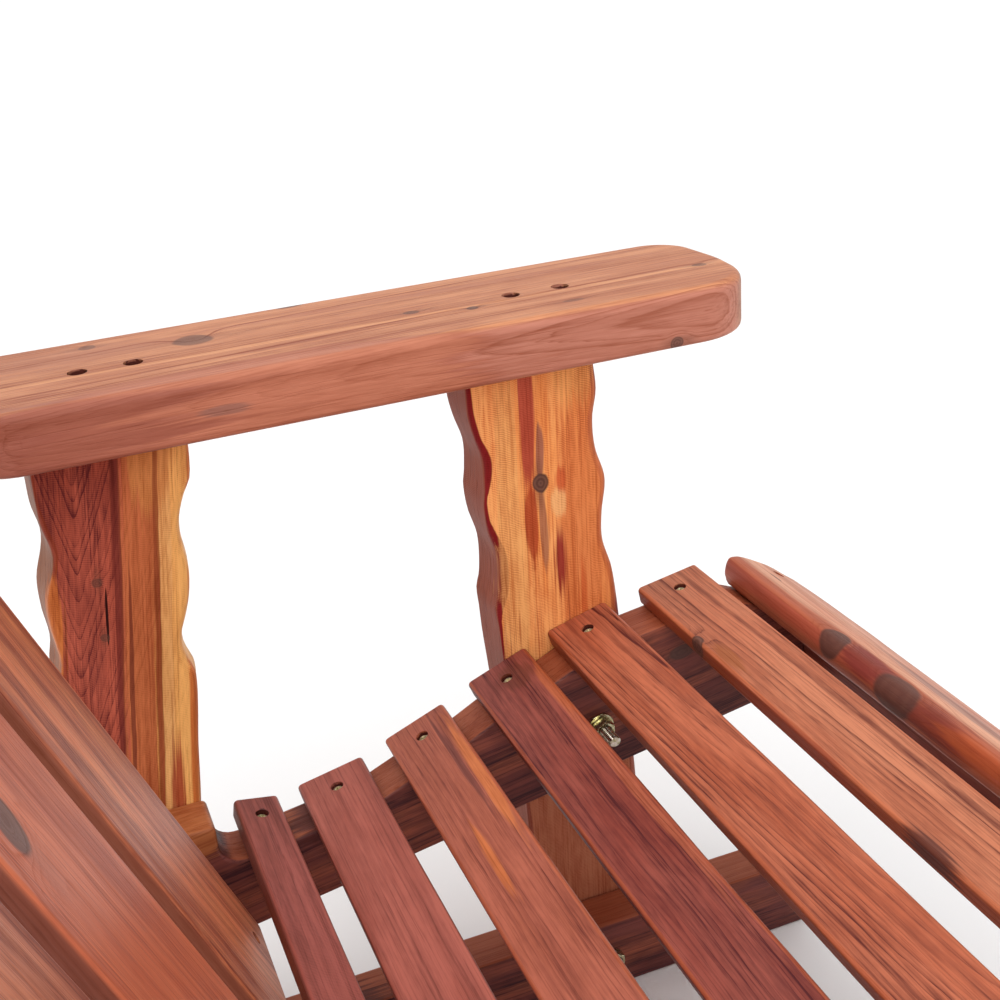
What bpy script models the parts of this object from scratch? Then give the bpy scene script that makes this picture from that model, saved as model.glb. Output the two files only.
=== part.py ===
"""Porch swing seat in red cedar, with live-edge arm supports and a contoured slatted seat.

The frame of the model: +X across the seat, -Y to the front, +Z up, metres.  The origin is on
the ground under the middle of the swing.  Side sections are written as (y, z) pairs: y is
measured from the rear edge of the rearmost seat slat, z from the ground.
"""
import bmesh
import bpy
from math import atan2, cos, pi, radians, sin, tan
from mathutils import Matrix, Vector

# ---------------------------------------------------------------- driving dimensions
SEAT_LENGTH = 1.143            # seat slats, end to end
SUPPORT_THICKNESS = 0.0381     # sawn slab of the live-edge arm supports
RAIL_THICKNESS = 0.0381        # contoured seat rails
LOWER_RAIL_THICKNESS = 0.0381  # level rails that tie the feet of the supports
LOWER_RAIL_DEPTH = 0.064
LOWER_RAIL_FRONT = -0.455
LOWER_RAIL_REAR = 0.140
LOWER_RAIL_CORNER = 0.015
SUPPORT_FOOT = 0.006           # end grain of the supports is held off the ground
FIT = 0.0003                   # gap between faces that touch

ARM_TOP = 0.5760
ARM_THICKNESS = 0.0400
ARM_WIDTH = 0.1345
ARM_FRONT = -0.4140
ARM_REAR = 0.137
ARM_INNER_OVERHANG = 0.0421    # inboard of the inner face of its supports
ARM_OUTER_CORNER = 0.034
ARM_INNER_CORNER = 0.048
ARM_END_CROWN = 0.006          # how far the middle of an end stands ahead of its corners
ARM_ROUNDOVER = 0.007
ARM_UNDER_ROUNDOVER = 0.0045

SLAT_THICKNESS = 0.0151
SLAT_WIDTH = 0.0508
REAR_SLAT_WIDTH = 0.0321
SLAT_ROUNDOVER = 0.004
# rear top edge of each seat slat and its slope in degrees, positive when it rises to the front
SLAT_STATIONS = (
    (0.0000, 0.2509, -10.4),
    (-0.0463, 0.2481, 11.4),
    (-0.1142, 0.2660, 21.0),
    (-0.1825, 0.2949, 20.7),
    (-0.2482, 0.3208, 15.0),
    (-0.3248, 0.3378, 9.7),
)
FRONT_SLAT_STATION = (-0.4040, 0.3435, -29.0)
FRONT_SLAT_THICKNESS = 0.0200
# live-edge section of the front slat, along its slope and down as a share of its thickness
FRONT_SLAT_REAR_EDGE = (
    (0.014, -0.23), (0.005, -0.15), (-0.0005, 0.01), (-0.001, 0.40), (0.003, 0.75), (0.015, 1.00),
)
FRONT_SLAT_FRONT_EDGE = (
    (0.076, 1.00), (0.084, 0.86), (0.086, 0.60), (0.080, 0.28), (0.070, 0.05), (0.058, -0.06),
)
FRONT_SLAT_CROWN = (0.034, -0.23)
FRONT_SLAT_STEPS = 24
FRONT_SLAT_WANE = 0.0022       # how far its natural edges wander
FRONT_SLAT_END_TAPER = 0.004   # how far the front edge draws back at each end

RAIL_FRONT = -0.450
RAIL_REAR = 0.125
RAIL_SLOPE = 9.1               # degrees, the lower edge rises to the front
RAIL_BOTTOM_AT_REAR_SLAT = 0.1680
RAIL_ROUNDOVER = 0.003
HORN_FRONT = 0.019             # upstand behind the rearmost slat
HORN_TOP = 0.2590
HORN_FILLET = 0.018
VALLEY = 0.2264
PAD_REAR = -0.003              # where the rail starts to carry the rearmost slat

APRON_THICKNESS = 0.019
APRON_DEPTH = 0.0635

BACK_LEAN = 21.6               # degrees from upright
BACK_FOOT_Y = 0.0202           # front face of the boards at BACK_FOOT_Z
BACK_FOOT_Z = 0.2460
BOARD_COUNT = 6
BOARD_WIDTH = 0.1397
BACK_SIDE_MARGIN = 0.0924      # from a seat slat's end in to the outer boards
BOARD_THICKNESS = 0.019
BOARD_LENGTH = 0.6096
BOARD_FOOT = -0.038            # along the lean, from BACK_FOOT_Z
BOARD_TOP_CORNER = 0.030
BOARD_ROUNDOVER = 0.005
BACK_STOCK = 0.0381            # thickness of the back's rails, posts and stretcher
LOWER_BACK_RAIL = (-0.070, 0.0062)     # reach along the lean
BASE_STRETCHER = (-0.2335, -0.1825)
POST_FOOT = -0.2155
POST_WIDTH = 0.0889
TOP_RAIL_DEPTH = 0.0635
TOP_RAIL_DROP = 0.0365         # from the top of the boards to the top of the rail
TAIL_GAP = 0.001               # between the boards' feet and the middle rail's tail

# live edges of the arm supports, height above ground and y from the top down: the front
# edges on the inner face, the rear edges on the outer face
FRONT_SUPPORT_FRONT = (
    (0.543, -0.2984), (0.522, -0.2998), (0.501, -0.3012), (0.480, -0.2974), (0.457, -0.2983),
    (0.432, -0.3050), (0.405, -0.3013), (0.383, -0.3006), (0.358, -0.3072), (0.327, -0.3106),
    (0.273, -0.3140), (0.218, -0.3165), (0.171, -0.3200), (0.113, -0.3190), (0.000, -0.3235),
)
FRONT_SUPPORT_REAR = (
    (0.543, -0.1985), (0.522, -0.1988), (0.507, -0.1990), (0.491, -0.2020), (0.472, -0.2073),
    (0.450, -0.2067), (0.438, -0.2049), (0.418, -0.2065), (0.395, -0.2123), (0.366, -0.2114),
    (0.353, -0.2081), (0.337, -0.2088), (0.312, -0.2100), (0.281, -0.2124), (0.218, -0.2180),
    (0.143, -0.2205), (0.000, -0.2240),
)
REAR_SUPPORT_FRONT = (
    (0.543, -0.0139), (0.522, -0.0123), (0.507, -0.0112), (0.497, -0.0097), (0.488, -0.0049),
    (0.478, -0.0008), (0.466, 0.0024), (0.455, 0.0029), (0.444, 0.0018), (0.432, 0.0012),
    (0.416, 0.0036), (0.400, 0.0085), (0.389, 0.0128), (0.378, 0.0143), (0.368, 0.0124),
    (0.357, 0.0090), (0.340, 0.0098), (0.307, 0.0144), (0.261, 0.0203), (0.208, 0.0260),
    (0.148, 0.0300), (0.093, 0.0370), (0.000, 0.0420),
)
REAR_SUPPORT_REAR = (
    (0.543, 0.0897), (0.509, 0.0905), (0.491, 0.0905), (0.473, 0.0878), (0.461, 0.0895),
    (0.439, 0.0966), (0.418, 0.0980), (0.395, 0.0965), (0.378, 0.1002), (0.333, 0.1052),
    (0.283, 0.1087), (0.228, 0.1162), (0.163, 0.1217), (0.103, 0.1272), (0.000, 0.1347),
)
SUPPORT_PLAIN_TOP = 0.2730      # the scallops are close together above this height
SUPPORT_STEPS = (8, 21)        # below it and above it
SUPPORT_ROUNDOVER = 0.004
SUPPORT_FRONT_ROUNDOVER = 0.008        # inner front corner, the one a forearm brushes
SUPPORT_EDGE_SHIFT = 0.006     # the waves run a little lower across the thickness
SUPPORT_FLARE = 0.003          # the outer face is wider by this at each edge

COUNTERBORE = 0.0095
SCREW_SINK = 0.0055            # depth of the counterbore
ARM_COUNTERBORE = 0.0127
ARM_SCREW_SINK = 0.0130
SCREW_END_INSET = 0.0215       # from a slat's end
APRON_SCREW_RISE = 0.012       # either side of the middle of a rail's front end
CUTTER_OVERRUN = 0.010         # how far cutters reach past the wood
ARM_SCREW_X = 0.0190           # from the inner face of the supports
ARM_SCREW_Y = (0.0461, 0.0114, -0.2463, -0.2833)

BOLT_DIAMETER = 0.0095
BOLT_HOLE = 0.0103
NUT_FLATS = 0.0143
NUT_HEIGHT = 0.0083
WASHER_DIAMETER = 0.0206
WASHER_THICKNESS = 0.0020
EYE_BOLT_PROUD = 0.0260        # thread left showing inside the rail
CARRIAGE_BOLT_PROUD = 0.0125
NUT_CHAMFER = 0.0008
DOME_DIAMETER = 0.0200
DOME_HEIGHT = 0.0050
EYE_RING_RADIUS = 0.0140       # to the middle of the rod
EYE_NECK = 0.0072              # between the shoulder and the ring
SHOULDER_DIAMETER = 0.0190
SHOULDER_HEIGHT = 0.0050
EYE_BOLTS = {"front": (-0.2715, 0.2530), "rear": (0.095, 0.188)}
RAIL_BOLTS = {"front": (-0.243, 0.231), "rear": (0.095, 0.238)}
FOOT_BOLTS = {"front": (-0.272, 0.032), "rear": (0.089, 0.032)}

# ---------------------------------------------------------------- derived places
HALF_SEAT = SEAT_LENGTH / 2
RAIL_INNER = HALF_SEAT - RAIL_THICKNESS
LOWER_RAIL_INNER = HALF_SEAT - LOWER_RAIL_THICKNESS
SUPPORT_INNER = HALF_SEAT + FIT
SUPPORT_OUTER = SUPPORT_INNER + SUPPORT_THICKNESS
LEAN = radians(BACK_LEAN)
BOARD_HEAD = BOARD_FOOT + BOARD_LENGTH
RAIL_LAYER = BOARD_THICKNESS + FIT              # behind the boards' front face
POST_LAYER = RAIL_LAYER + BACK_STOCK + FIT
TOP_RAIL = (BOARD_HEAD - TOP_RAIL_DROP - TOP_RAIL_DEPTH, BOARD_HEAD - TOP_RAIL_DROP)
BACK_HALF_WIDTH = HALF_SEAT - BACK_SIDE_MARGIN
BOARD_PITCH = (2 * BACK_HALF_WIDTH - BOARD_WIDTH) / (BOARD_COUNT - 1)
POST_X = BACK_HALF_WIDTH - BOARD_WIDTH / 2
SIDES = {"left": -1, "right": 1}

COLORS = {
    "arm_cedar": (0.58, 0.29, 0.19), "support_cedar": (0.62, 0.36, 0.17),
    "rail_cedar": (0.36, 0.17, 0.12), "slat_cedar": (0.47, 0.19, 0.12),
    "board_cedar": (0.52, 0.24, 0.15), "zinc_steel": (0.72, 0.66, 0.46),
}


# ---------------------------------------------------------------- side geometry
def slat_axes(slope):
    """Forward along a slat's top face, and down through it, as (y, z) directions."""
    a = radians(slope)
    return Vector((-cos(a), sin(a))), Vector((-sin(a), -cos(a)))


def slat_point(station, along, down):
    forward, into = slat_axes(station[2])
    return Vector(station[:2]) + forward * along + into * down


def rail_bottom(y):
    return RAIL_BOTTOM_AT_REAR_SLAT - y * tan(radians(RAIL_SLOPE))


def back_point(out, up):
    """(y, z) of a place in the leaning back: out behind the boards' face, up along the lean."""
    return Vector((BACK_FOOT_Y + up * sin(LEAN) + out * cos(LEAN),
                   BACK_FOOT_Z + up * cos(LEAN) - out * sin(LEAN)))


def slat_width(index):
    return REAR_SLAT_WIDTH if index == 0 else SLAT_WIDTH


def rounded(points, steps=3):
    """Outline with each (y, z, radius) corner turned into an arc."""
    outline = []
    for i, (y, z, radius) in enumerate(points):
        corner = Vector((y, z))
        to_last = (Vector(points[i - 1][:2]) - corner).normalized()
        to_next = (Vector(points[(i + 1) % len(points)][:2]) - corner).normalized()
        if radius == 0:
            outline.append(corner)
            continue
        half = to_last.angle(to_next) / 2
        centre = corner + (to_last + to_next).normalized() * (radius / sin(half))
        start = corner + to_last * (radius / tan(half)) - centre
        end = corner + to_next * (radius / tan(half)) - centre
        a0 = atan2(start.y, start.x)
        sweep = (atan2(end.y, end.x) - a0 + pi) % (2 * pi) - pi
        for k in range(steps + 1):
            a = a0 + sweep * k / steps
            outline.append(centre + Vector((cos(a), sin(a))) * radius)
    return outline


def seat_pads():
    """Top of a seat rail from the rearmost slat to its front end, flat under each slat."""
    depth = SLAT_THICKNESS + FIT
    rear = SLAT_STATIONS[0]
    forward, _ = slat_axes(rear[2])
    under = slat_point(rear, 0, depth)
    pads = [under + forward * ((under.x - PAD_REAR) / -forward.x)]
    pads.append(slat_point(rear, REAR_SLAT_WIDTH, depth))
    for station in SLAT_STATIONS[1:]:
        pads.append(slat_point(station, 0, depth))
        pads.append(slat_point(station, SLAT_WIDTH, depth))
    depth = FRONT_SLAT_THICKNESS + FIT
    under = slat_point(FRONT_SLAT_STATION, FRONT_SLAT_REAR_EDGE[-1][0], depth)
    forward, _ = slat_axes(FRONT_SLAT_STATION[2])
    pads.append(under)
    pads.append(under + forward * ((under.x - RAIL_FRONT) / -forward.x))
    return [(p.x, p.y, 0) for p in pads]


def side_rail_outline():
    ends = [(RAIL_REAR, rail_bottom(RAIL_REAR), 0.006), (RAIL_REAR, HORN_TOP, 0.006),
            (HORN_FRONT, HORN_TOP, 0.004), (HORN_FRONT, VALLEY, 0.0155),
            (PAD_REAR, VALLEY, 0)]
    return rounded(ends + seat_pads() + [(RAIL_FRONT, rail_bottom(RAIL_FRONT), 0.004)])


def middle_rail_outline():
    """The middle rail has no horn: its tail passes under the boards to the lower back rail."""
    top = back_point(BOARD_THICKNESS, BOARD_FOOT).y - TAIL_GAP
    face = back_point(RAIL_LAYER - FIT, LOWER_BACK_RAIL[0])
    rise = tan(LEAN)
    tail_top = face.x + (top - face.y) * rise
    low = rail_bottom(face.x)
    tail_low = face.x + (low - face.y) * rise
    ends = [(tail_low, low, 0), (tail_top, top, 0), (PAD_REAR, top, 0)]
    return rounded(ends + seat_pads() + [(RAIL_FRONT, rail_bottom(RAIL_FRONT), 0.004)])


def apron_top():
    """Just under the lowest point of the front slat's natural edge."""
    nose = min(slat_point(FRONT_SLAT_STATION, along, share * FRONT_SLAT_THICKNESS).y
               for along, share in FRONT_SLAT_FRONT_EDGE)
    return nose - FRONT_SLAT_WANE - FIT


def along_edge(nodes, height):
    """Smooth curve through a live edge's (height, y) nodes, listed from the top down."""
    for i in range(len(nodes) - 1):
        (z0, y0), (z1, y1) = nodes[i], nodes[i + 1]
        if height >= z1:
            break
    t = max(0.0, min(1.0, (z0 - height) / (z0 - z1)))
    before = nodes[max(i - 1, 0)]
    after = nodes[min(i + 2, len(nodes) - 1)]
    m0 = (y1 - before[1]) / (before[0] - z1) * (z0 - z1)
    m1 = (after[1] - y0) / (z0 - after[0]) * (z0 - z1)
    return (y0 * (2 * t ** 3 - 3 * t ** 2 + 1) + m0 * (t ** 3 - 2 * t ** 2 + t)
            + y1 * (3 * t ** 2 - 2 * t ** 3) + m1 * (t ** 3 - t ** 2))


# ---------------------------------------------------------------- making objects
def clear_scene():
    for item in list(bpy.data.objects):
        bpy.data.objects.remove(item, do_unlink=True)


def empty(name, location=(0, 0, 0), rotation=(0, 0, 0), parent=None):
    item = bpy.data.objects.new(name, None)
    item.location = location
    item.rotation_euler = rotation
    item.parent = parent
    bpy.context.collection.objects.link(item)
    return item


def material(name):
    mat = bpy.data.materials.get(name)
    if mat is None:
        mat = bpy.data.materials.new(name)
        mat.use_nodes = True
        shader = mat.node_tree.nodes["Principled BSDF"]
        metal = name == "zinc_steel"
        shader.inputs["Base Color"].default_value = (*COLORS[name], 1)
        shader.inputs["Roughness"].default_value = 0.32 if metal else 0.48
        shader.inputs["Metallic"].default_value = 1.0 if metal else 0.0
    return mat


def add_object(name, bm, finish, parent, smooth=False):
    bmesh.ops.recalc_face_normals(bm, faces=bm.faces)
    mesh = bpy.data.meshes.new(name)
    bm.to_mesh(mesh)
    bm.free()
    if smooth:
        mesh.shade_smooth()
        mesh.set_sharp_from_angle(angle=radians(35))
    mesh.materials.append(material(finish))
    item = bpy.data.objects.new(name, mesh)
    item.parent = parent
    bpy.context.collection.objects.link(item)
    return item


def add_prism(bm, outline, low, high, place=None):
    """Solid between two planes across X, from an outline of (y, z) points."""
    place = place or Matrix()
    add_loft(bm, [[bm.verts.new(place @ Vector((x, p[0], p[1]))) for p in outline]
                  for x in (low, high)])


def add_loft(bm, rings):
    """Solid through a row of closed rings of vertices."""
    bm.faces.new(rings[0])
    bm.faces.new(rings[-1])
    for low, high in zip(rings, rings[1:]):
        for i in range(len(low)):
            j = (i + 1) % len(low)
            bm.faces.new((low[i], low[j], high[j], high[i]))


def add_turned(bm, profile, place, segments=12):
    """Solid turned round its local Z from (radius, height) points; a ring when none is 0."""
    rings = []
    for radius, height in profile:
        count = segments if radius > 0 else 1
        angles = [2 * pi * k / segments for k in range(count)]
        rings.append([bm.verts.new(place @ Vector((radius * cos(a), radius * sin(a), height)))
                      for a in angles])
    closed = profile[0][0] > 0
    for i in range(len(rings) if closed else len(rings) - 1):
        low, high = rings[i], rings[(i + 1) % len(rings)]
        for k in range(segments):
            quad = [low[k % len(low)], low[(k + 1) % len(low)],
                    high[(k + 1) % len(high)], high[k % len(high)]]
            bm.faces.new(list(dict.fromkeys(quad)))


def box_object(name, low, high, finish, parent, roundover):
    bm = bmesh.new()
    size = Vector(high) - Vector(low)
    bmesh.ops.create_cube(bm, size=1.0)
    bmesh.ops.scale(bm, verts=bm.verts, vec=size)
    item = add_object(name, bm, finish, parent)
    item.location = (Vector(low) + Vector(high)) / 2
    return round_edges(item, roundover)


def round_edges(item, width, segments=2):
    bevel = item.modifiers.new("roundover", "BEVEL")
    bevel.width = width
    bevel.segments = segments
    bevel.limit_method = "ANGLE"
    bevel.angle_limit = radians(50)
    return item


def cut(item, name, bm, parent):
    """Take the solids in bm out of an object."""
    if not bm.verts:
        bm.free()
        return
    cutter = add_object(name, bm, "zinc_steel", parent)
    cutter.hide_render = True
    cutter.display_type = "WIRE"
    boolean = item.modifiers.new(name, "BOOLEAN")
    boolean.operation = "DIFFERENCE"
    boolean.solver = "EXACT"
    boolean.object = cutter


def looking_along(origin, direction):
    """Placement whose local Z points along a direction."""
    turn = Vector(direction).to_track_quat("Z", "Y").to_matrix().to_4x4()
    return Matrix.Translation(Vector(origin)) @ turn


# ---------------------------------------------------------------- holes and fasteners
def add_screw_hole(bm, origin, direction, sink=SCREW_SINK, width=COUNTERBORE):
    """Cutter for a counterbore: origin on the wood's face, direction into the wood."""
    add_turned(bm, [(0, -CUTTER_OVERRUN), (width / 2, -CUTTER_OVERRUN), (width / 2, sink),
                    (0, sink)], looking_along(origin, direction), 8)


def add_bolt_hole(bm, side, y, z):
    low, high = RAIL_INNER - CUTTER_OVERRUN, SUPPORT_OUTER + CUTTER_OVERRUN
    add_turned(bm, [(0, 0), (BOLT_HOLE / 2, 0), (BOLT_HOLE / 2, high - low), (0, high - low)],
               looking_along((side * low, y, z), (side, 0, 0)), 12)


def make_washer(name, face, inward, parent):
    bore, rim = BOLT_DIAMETER / 2 + FIT, WASHER_DIAMETER / 2
    low, high = FIT, FIT + WASHER_THICKNESS
    bm = bmesh.new()
    add_turned(bm, [(bore, low), (rim, low), (rim, high), (bore, high)],
               looking_along(face, inward), 12)
    add_object(name, bm, "zinc_steel", parent, smooth=True)


def make_nut(name, face, inward, lift, parent):
    """Hex nut with chamfered corners, lift above a face."""
    bore = (BOLT_DIAMETER / 2 + FIT) / cos(pi / 6)
    corner = NUT_FLATS / 2 / cos(pi / 6)
    low, high = lift + FIT, lift + FIT + NUT_HEIGHT
    bm = bmesh.new()
    add_turned(bm, [(bore, low), (corner - NUT_CHAMFER, low), (corner, low + NUT_CHAMFER),
                    (corner, high - NUT_CHAMFER), (corner - NUT_CHAMFER, high), (bore, high)],
               looking_along(face, inward), 6)
    add_object(name, bm, "zinc_steel", parent)


def carriage_bolt(label, side, y, z, inner, parent):
    """Dome-headed bolt from a support's outer face to its nut inside the rail."""
    r, head = BOLT_DIAMETER / 2, DOME_DIAMETER / 2
    length = SUPPORT_OUTER + FIT - inner + CARRIAGE_BOLT_PROUD
    profile = [(head * sin(a), -DOME_HEIGHT * cos(a)) for a in (pi / 8 * k for k in range(5))]
    profile += [(r, 0), (r, length - NUT_CHAMFER), (r - NUT_CHAMFER, length), (0, length)]
    bm = bmesh.new()
    add_turned(bm, profile, looking_along((side * (SUPPORT_OUTER + FIT), y, z), (-side, 0, 0)), 12)
    add_object("carriage_bolt_" + label, bm, "zinc_steel", parent, smooth=True)
    make_nut("bolt_nut_" + label, (side * inner, y, z), (-side, 0, 0), 0, parent)


def eye_bolt(label, side, y, z, parent):
    """Shouldered rod with a closed ring at its outer end, across the rail and the support."""
    r, neck = BOLT_DIAMETER / 2, EYE_NECK / 2
    face = SUPPORT_OUTER + FIT
    centre = face + SHOULDER_HEIGHT + EYE_RING_RADIUS + r / 2
    tip = RAIL_INNER - EYE_BOLT_PROUD
    bm = bmesh.new()
    section = [bm.verts.new((side * (centre + EYE_RING_RADIUS + r * cos(a)), y + r * sin(a), z))
               for a in (pi / 4 * k for k in range(8))]
    loop = [bm.edges.new((section[k - 1], section[k])) for k in range(8)]
    bmesh.ops.spin(bm, geom=section + loop, cent=(side * centre, y, z), axis=(0, 1, 0),
                   angle=2 * pi, steps=18, use_merge=True, use_duplicate=False)
    item = add_object("eye_bolt_" + label, bm, "zinc_steel", parent, smooth=True)
    rod = bmesh.new()
    add_turned(rod, [(0, 0), (r - NUT_CHAMFER, 0), (r, NUT_CHAMFER), (r, face - tip),
                     (SHOULDER_DIAMETER / 2, face - tip),
                     (SHOULDER_DIAMETER / 2, face - tip + SHOULDER_HEIGHT / 2),
                     (neck, face - tip + SHOULDER_HEIGHT),
                     (neck, centre - EYE_RING_RADIUS - tip), (0, centre - EYE_RING_RADIUS - tip)],
               looking_along((side * tip, y, z), (side, 0, 0)), 12)
    guide = add_object("eye_bolt_rod_" + label, rod, "zinc_steel", parent)
    guide.hide_render = True
    guide.display_type = "WIRE"
    join = item.modifiers.new("rod", "BOOLEAN")
    join.operation = "UNION"
    join.solver = "EXACT"
    join.object = guide
    inner = (side * RAIL_INNER, y, z)
    make_washer("eye_bolt_washer_" + label, inner, (-side, 0, 0), parent)
    make_nut("eye_bolt_nut_" + label, inner, (-side, 0, 0), FIT + WASHER_THICKNESS, parent)


# ---------------------------------------------------------------- wooden pieces
def arm_outline(inset):
    """Plan of an arm as (outward, along), drawn in by inset: crowned ends and round corners."""
    half = ARM_WIDTH / 2 - inset
    front, rear = ARM_FRONT + inset, ARM_REAR - inset
    inner, outer = ARM_INNER_CORNER - inset, ARM_OUTER_CORNER - inset
    front_corner, rear_corner = front + ARM_END_CROWN, rear - ARM_END_CROWN
    end = ARM_WIDTH * 0.6
    return rounded([(-half, front_corner, inner), (0, front, end), (half, front_corner, outer),
                    (half, rear_corner, outer), (0, rear, end), (-half, rear_corner, inner)], 4)


def make_arm(label, side, parent):
    middle = side * (HALF_SEAT - ARM_INNER_OVERHANG + ARM_WIDTH / 2)
    under, over = ARM_UNDER_ROUNDOVER, ARM_ROUNDOVER
    arc = 1 - cos(pi / 4)
    profile = [(under, -ARM_THICKNESS), (under * arc, under * arc - ARM_THICKNESS),
               (0, under - ARM_THICKNESS), (0, -over), (over * arc, -over * arc), (over, 0)]
    bm = bmesh.new()
    add_loft(bm, [[bm.verts.new((side * p.x, p.y, z)) for p in arm_outline(inset)]
                  for inset, z in profile])
    item = add_object("arm_" + label, bm, "arm_cedar", parent, smooth=True)
    item.location = (middle, 0, ARM_TOP)
    holes = bmesh.new()
    for y in ARM_SCREW_Y:
        add_screw_hole(holes, (side * (SUPPORT_INNER + ARM_SCREW_X), y, ARM_TOP), (0, 0, -1),
                       ARM_SCREW_SINK, ARM_COUNTERBORE)
    cut(item, "arm_holes_" + label, holes, parent)


def support_heights():
    """Heights of a support's sections, from its foot to the underside of the arm."""
    stops = (SUPPORT_FOOT, SUPPORT_PLAIN_TOP, ARM_TOP - ARM_THICKNESS - FIT)
    heights = [SUPPORT_FOOT]
    for low, high, steps in zip(stops, stops[1:], SUPPORT_STEPS):
        heights += [low + (high - low) * k / steps for k in range(1, steps + 1)]
    return heights


def make_support(name, side, front, rear, parent):
    """Slab with two live edges, lofted from its foot to the underside of the arm."""
    bm = bmesh.new()
    depth = SUPPORT_THICKNESS
    wide, r = SUPPORT_FRONT_ROUNDOVER, SUPPORT_ROUNDOVER
    arc = 1 - cos(pi / 4)
    rings = []
    for z in support_heights():
        f0, r1 = along_edge(front, z), along_edge(rear, z)
        f1 = along_edge(front, z + SUPPORT_EDGE_SHIFT) - SUPPORT_FLARE
        r0 = along_edge(rear, z + SUPPORT_EDGE_SHIFT) - SUPPORT_FLARE
        section = [(0, f0 + wide), (wide * arc, f0 + wide * arc), (wide, f0),
                   (depth - r, f1), (depth, f1 + r), (depth, r1 - r), (depth - r, r1),
                   (r, r0), (0, r0 - r)]
        rings.append([bm.verts.new((side * (SUPPORT_INNER + x), y, z)) for x, y in section])
    add_loft(bm, rings)
    return add_object(name, bm, "support_cedar", parent, smooth=True)


def make_rail(name, low, high, outline, parent):
    bm = bmesh.new()
    add_prism(bm, outline, low, high)
    return round_edges(add_object(name, bm, "rail_cedar", parent), RAIL_ROUNDOVER, 1)


def make_lower_rail(name, side, parent):
    corner = LOWER_RAIL_CORNER
    outline = rounded([(LOWER_RAIL_FRONT, 0, 0.004), (LOWER_RAIL_REAR, 0, 0.004),
                       (LOWER_RAIL_REAR, LOWER_RAIL_DEPTH, corner),
                       (LOWER_RAIL_FRONT, LOWER_RAIL_DEPTH, corner)])
    bm = bmesh.new()
    low, high = sorted((side * LOWER_RAIL_INNER, side * HALF_SEAT))
    add_prism(bm, outline, low, high)
    return round_edges(add_object(name, bm, "rail_cedar", parent), RAIL_ROUNDOVER, 1)


def make_slat(index, station, parent):
    width = slat_width(index)
    bm = bmesh.new()
    bmesh.ops.create_cube(bm, size=1.0)
    bmesh.ops.scale(bm, verts=bm.verts, vec=(SEAT_LENGTH, width, SLAT_THICKNESS))
    bmesh.ops.translate(bm, verts=bm.verts, vec=(0, -width / 2, -SLAT_THICKNESS / 2))
    item = add_object("seat_slat_%d" % (index + 1), bm, "slat_cedar", parent)
    item.location = (0, station[0], station[1])
    item.rotation_euler = (-radians(station[2]), 0, 0)
    return round_edges(item, SLAT_ROUNDOVER)


def make_front_slat(parent):
    """Front slat from the outside of the log: both its edges wander."""
    bm = bmesh.new()
    rings = []
    for k in range(FRONT_SLAT_STEPS + 1):
        x = SEAT_LENGTH * (k / FRONT_SLAT_STEPS - 0.5)
        from_end = 1 - abs(2 * k / FRONT_SLAT_STEPS - 1)
        taper = FRONT_SLAT_END_TAPER * max(0.0, 1 - from_end * 6) ** 2
        section = [(along + FRONT_SLAT_WANE * sin(19 * x + 0.6 * i) * (1 - share), share)
                   for i, (along, share) in enumerate(FRONT_SLAT_REAR_EDGE)]
        section += [(along + FRONT_SLAT_WANE * sin(13 * x + 1.1) - taper, share)
                    for along, share in FRONT_SLAT_FRONT_EDGE]
        section.append(FRONT_SLAT_CROWN)
        points = [slat_point(FRONT_SLAT_STATION, along, share * FRONT_SLAT_THICKNESS)
                  for along, share in section]
        rings.append([bm.verts.new((x, p.x, p.y)) for p in points])
    add_loft(bm, rings)
    return add_object("front_live_edge_slat", bm, "slat_cedar", parent, smooth=True)


def make_board(number, x, parent):
    half = BOARD_WIDTH / 2
    top = BOARD_TOP_CORNER
    outline = rounded([(-half, BOARD_FOOT, 0), (half, BOARD_FOOT, 0), (half, BOARD_HEAD, top),
                       (-half, BOARD_HEAD, top)], 5)
    upright = Matrix(((0, 1, 0, 0), (1, 0, 0, 0), (0, 0, 1, 0), (0, 0, 0, 1)))
    bm = bmesh.new()
    add_prism(bm, outline, 0, BOARD_THICKNESS, upright)
    item = add_object("back_board_%d" % number, bm, "board_cedar", parent)
    item.location.x = x
    return round_edges(item, BOARD_ROUNDOVER)


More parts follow.
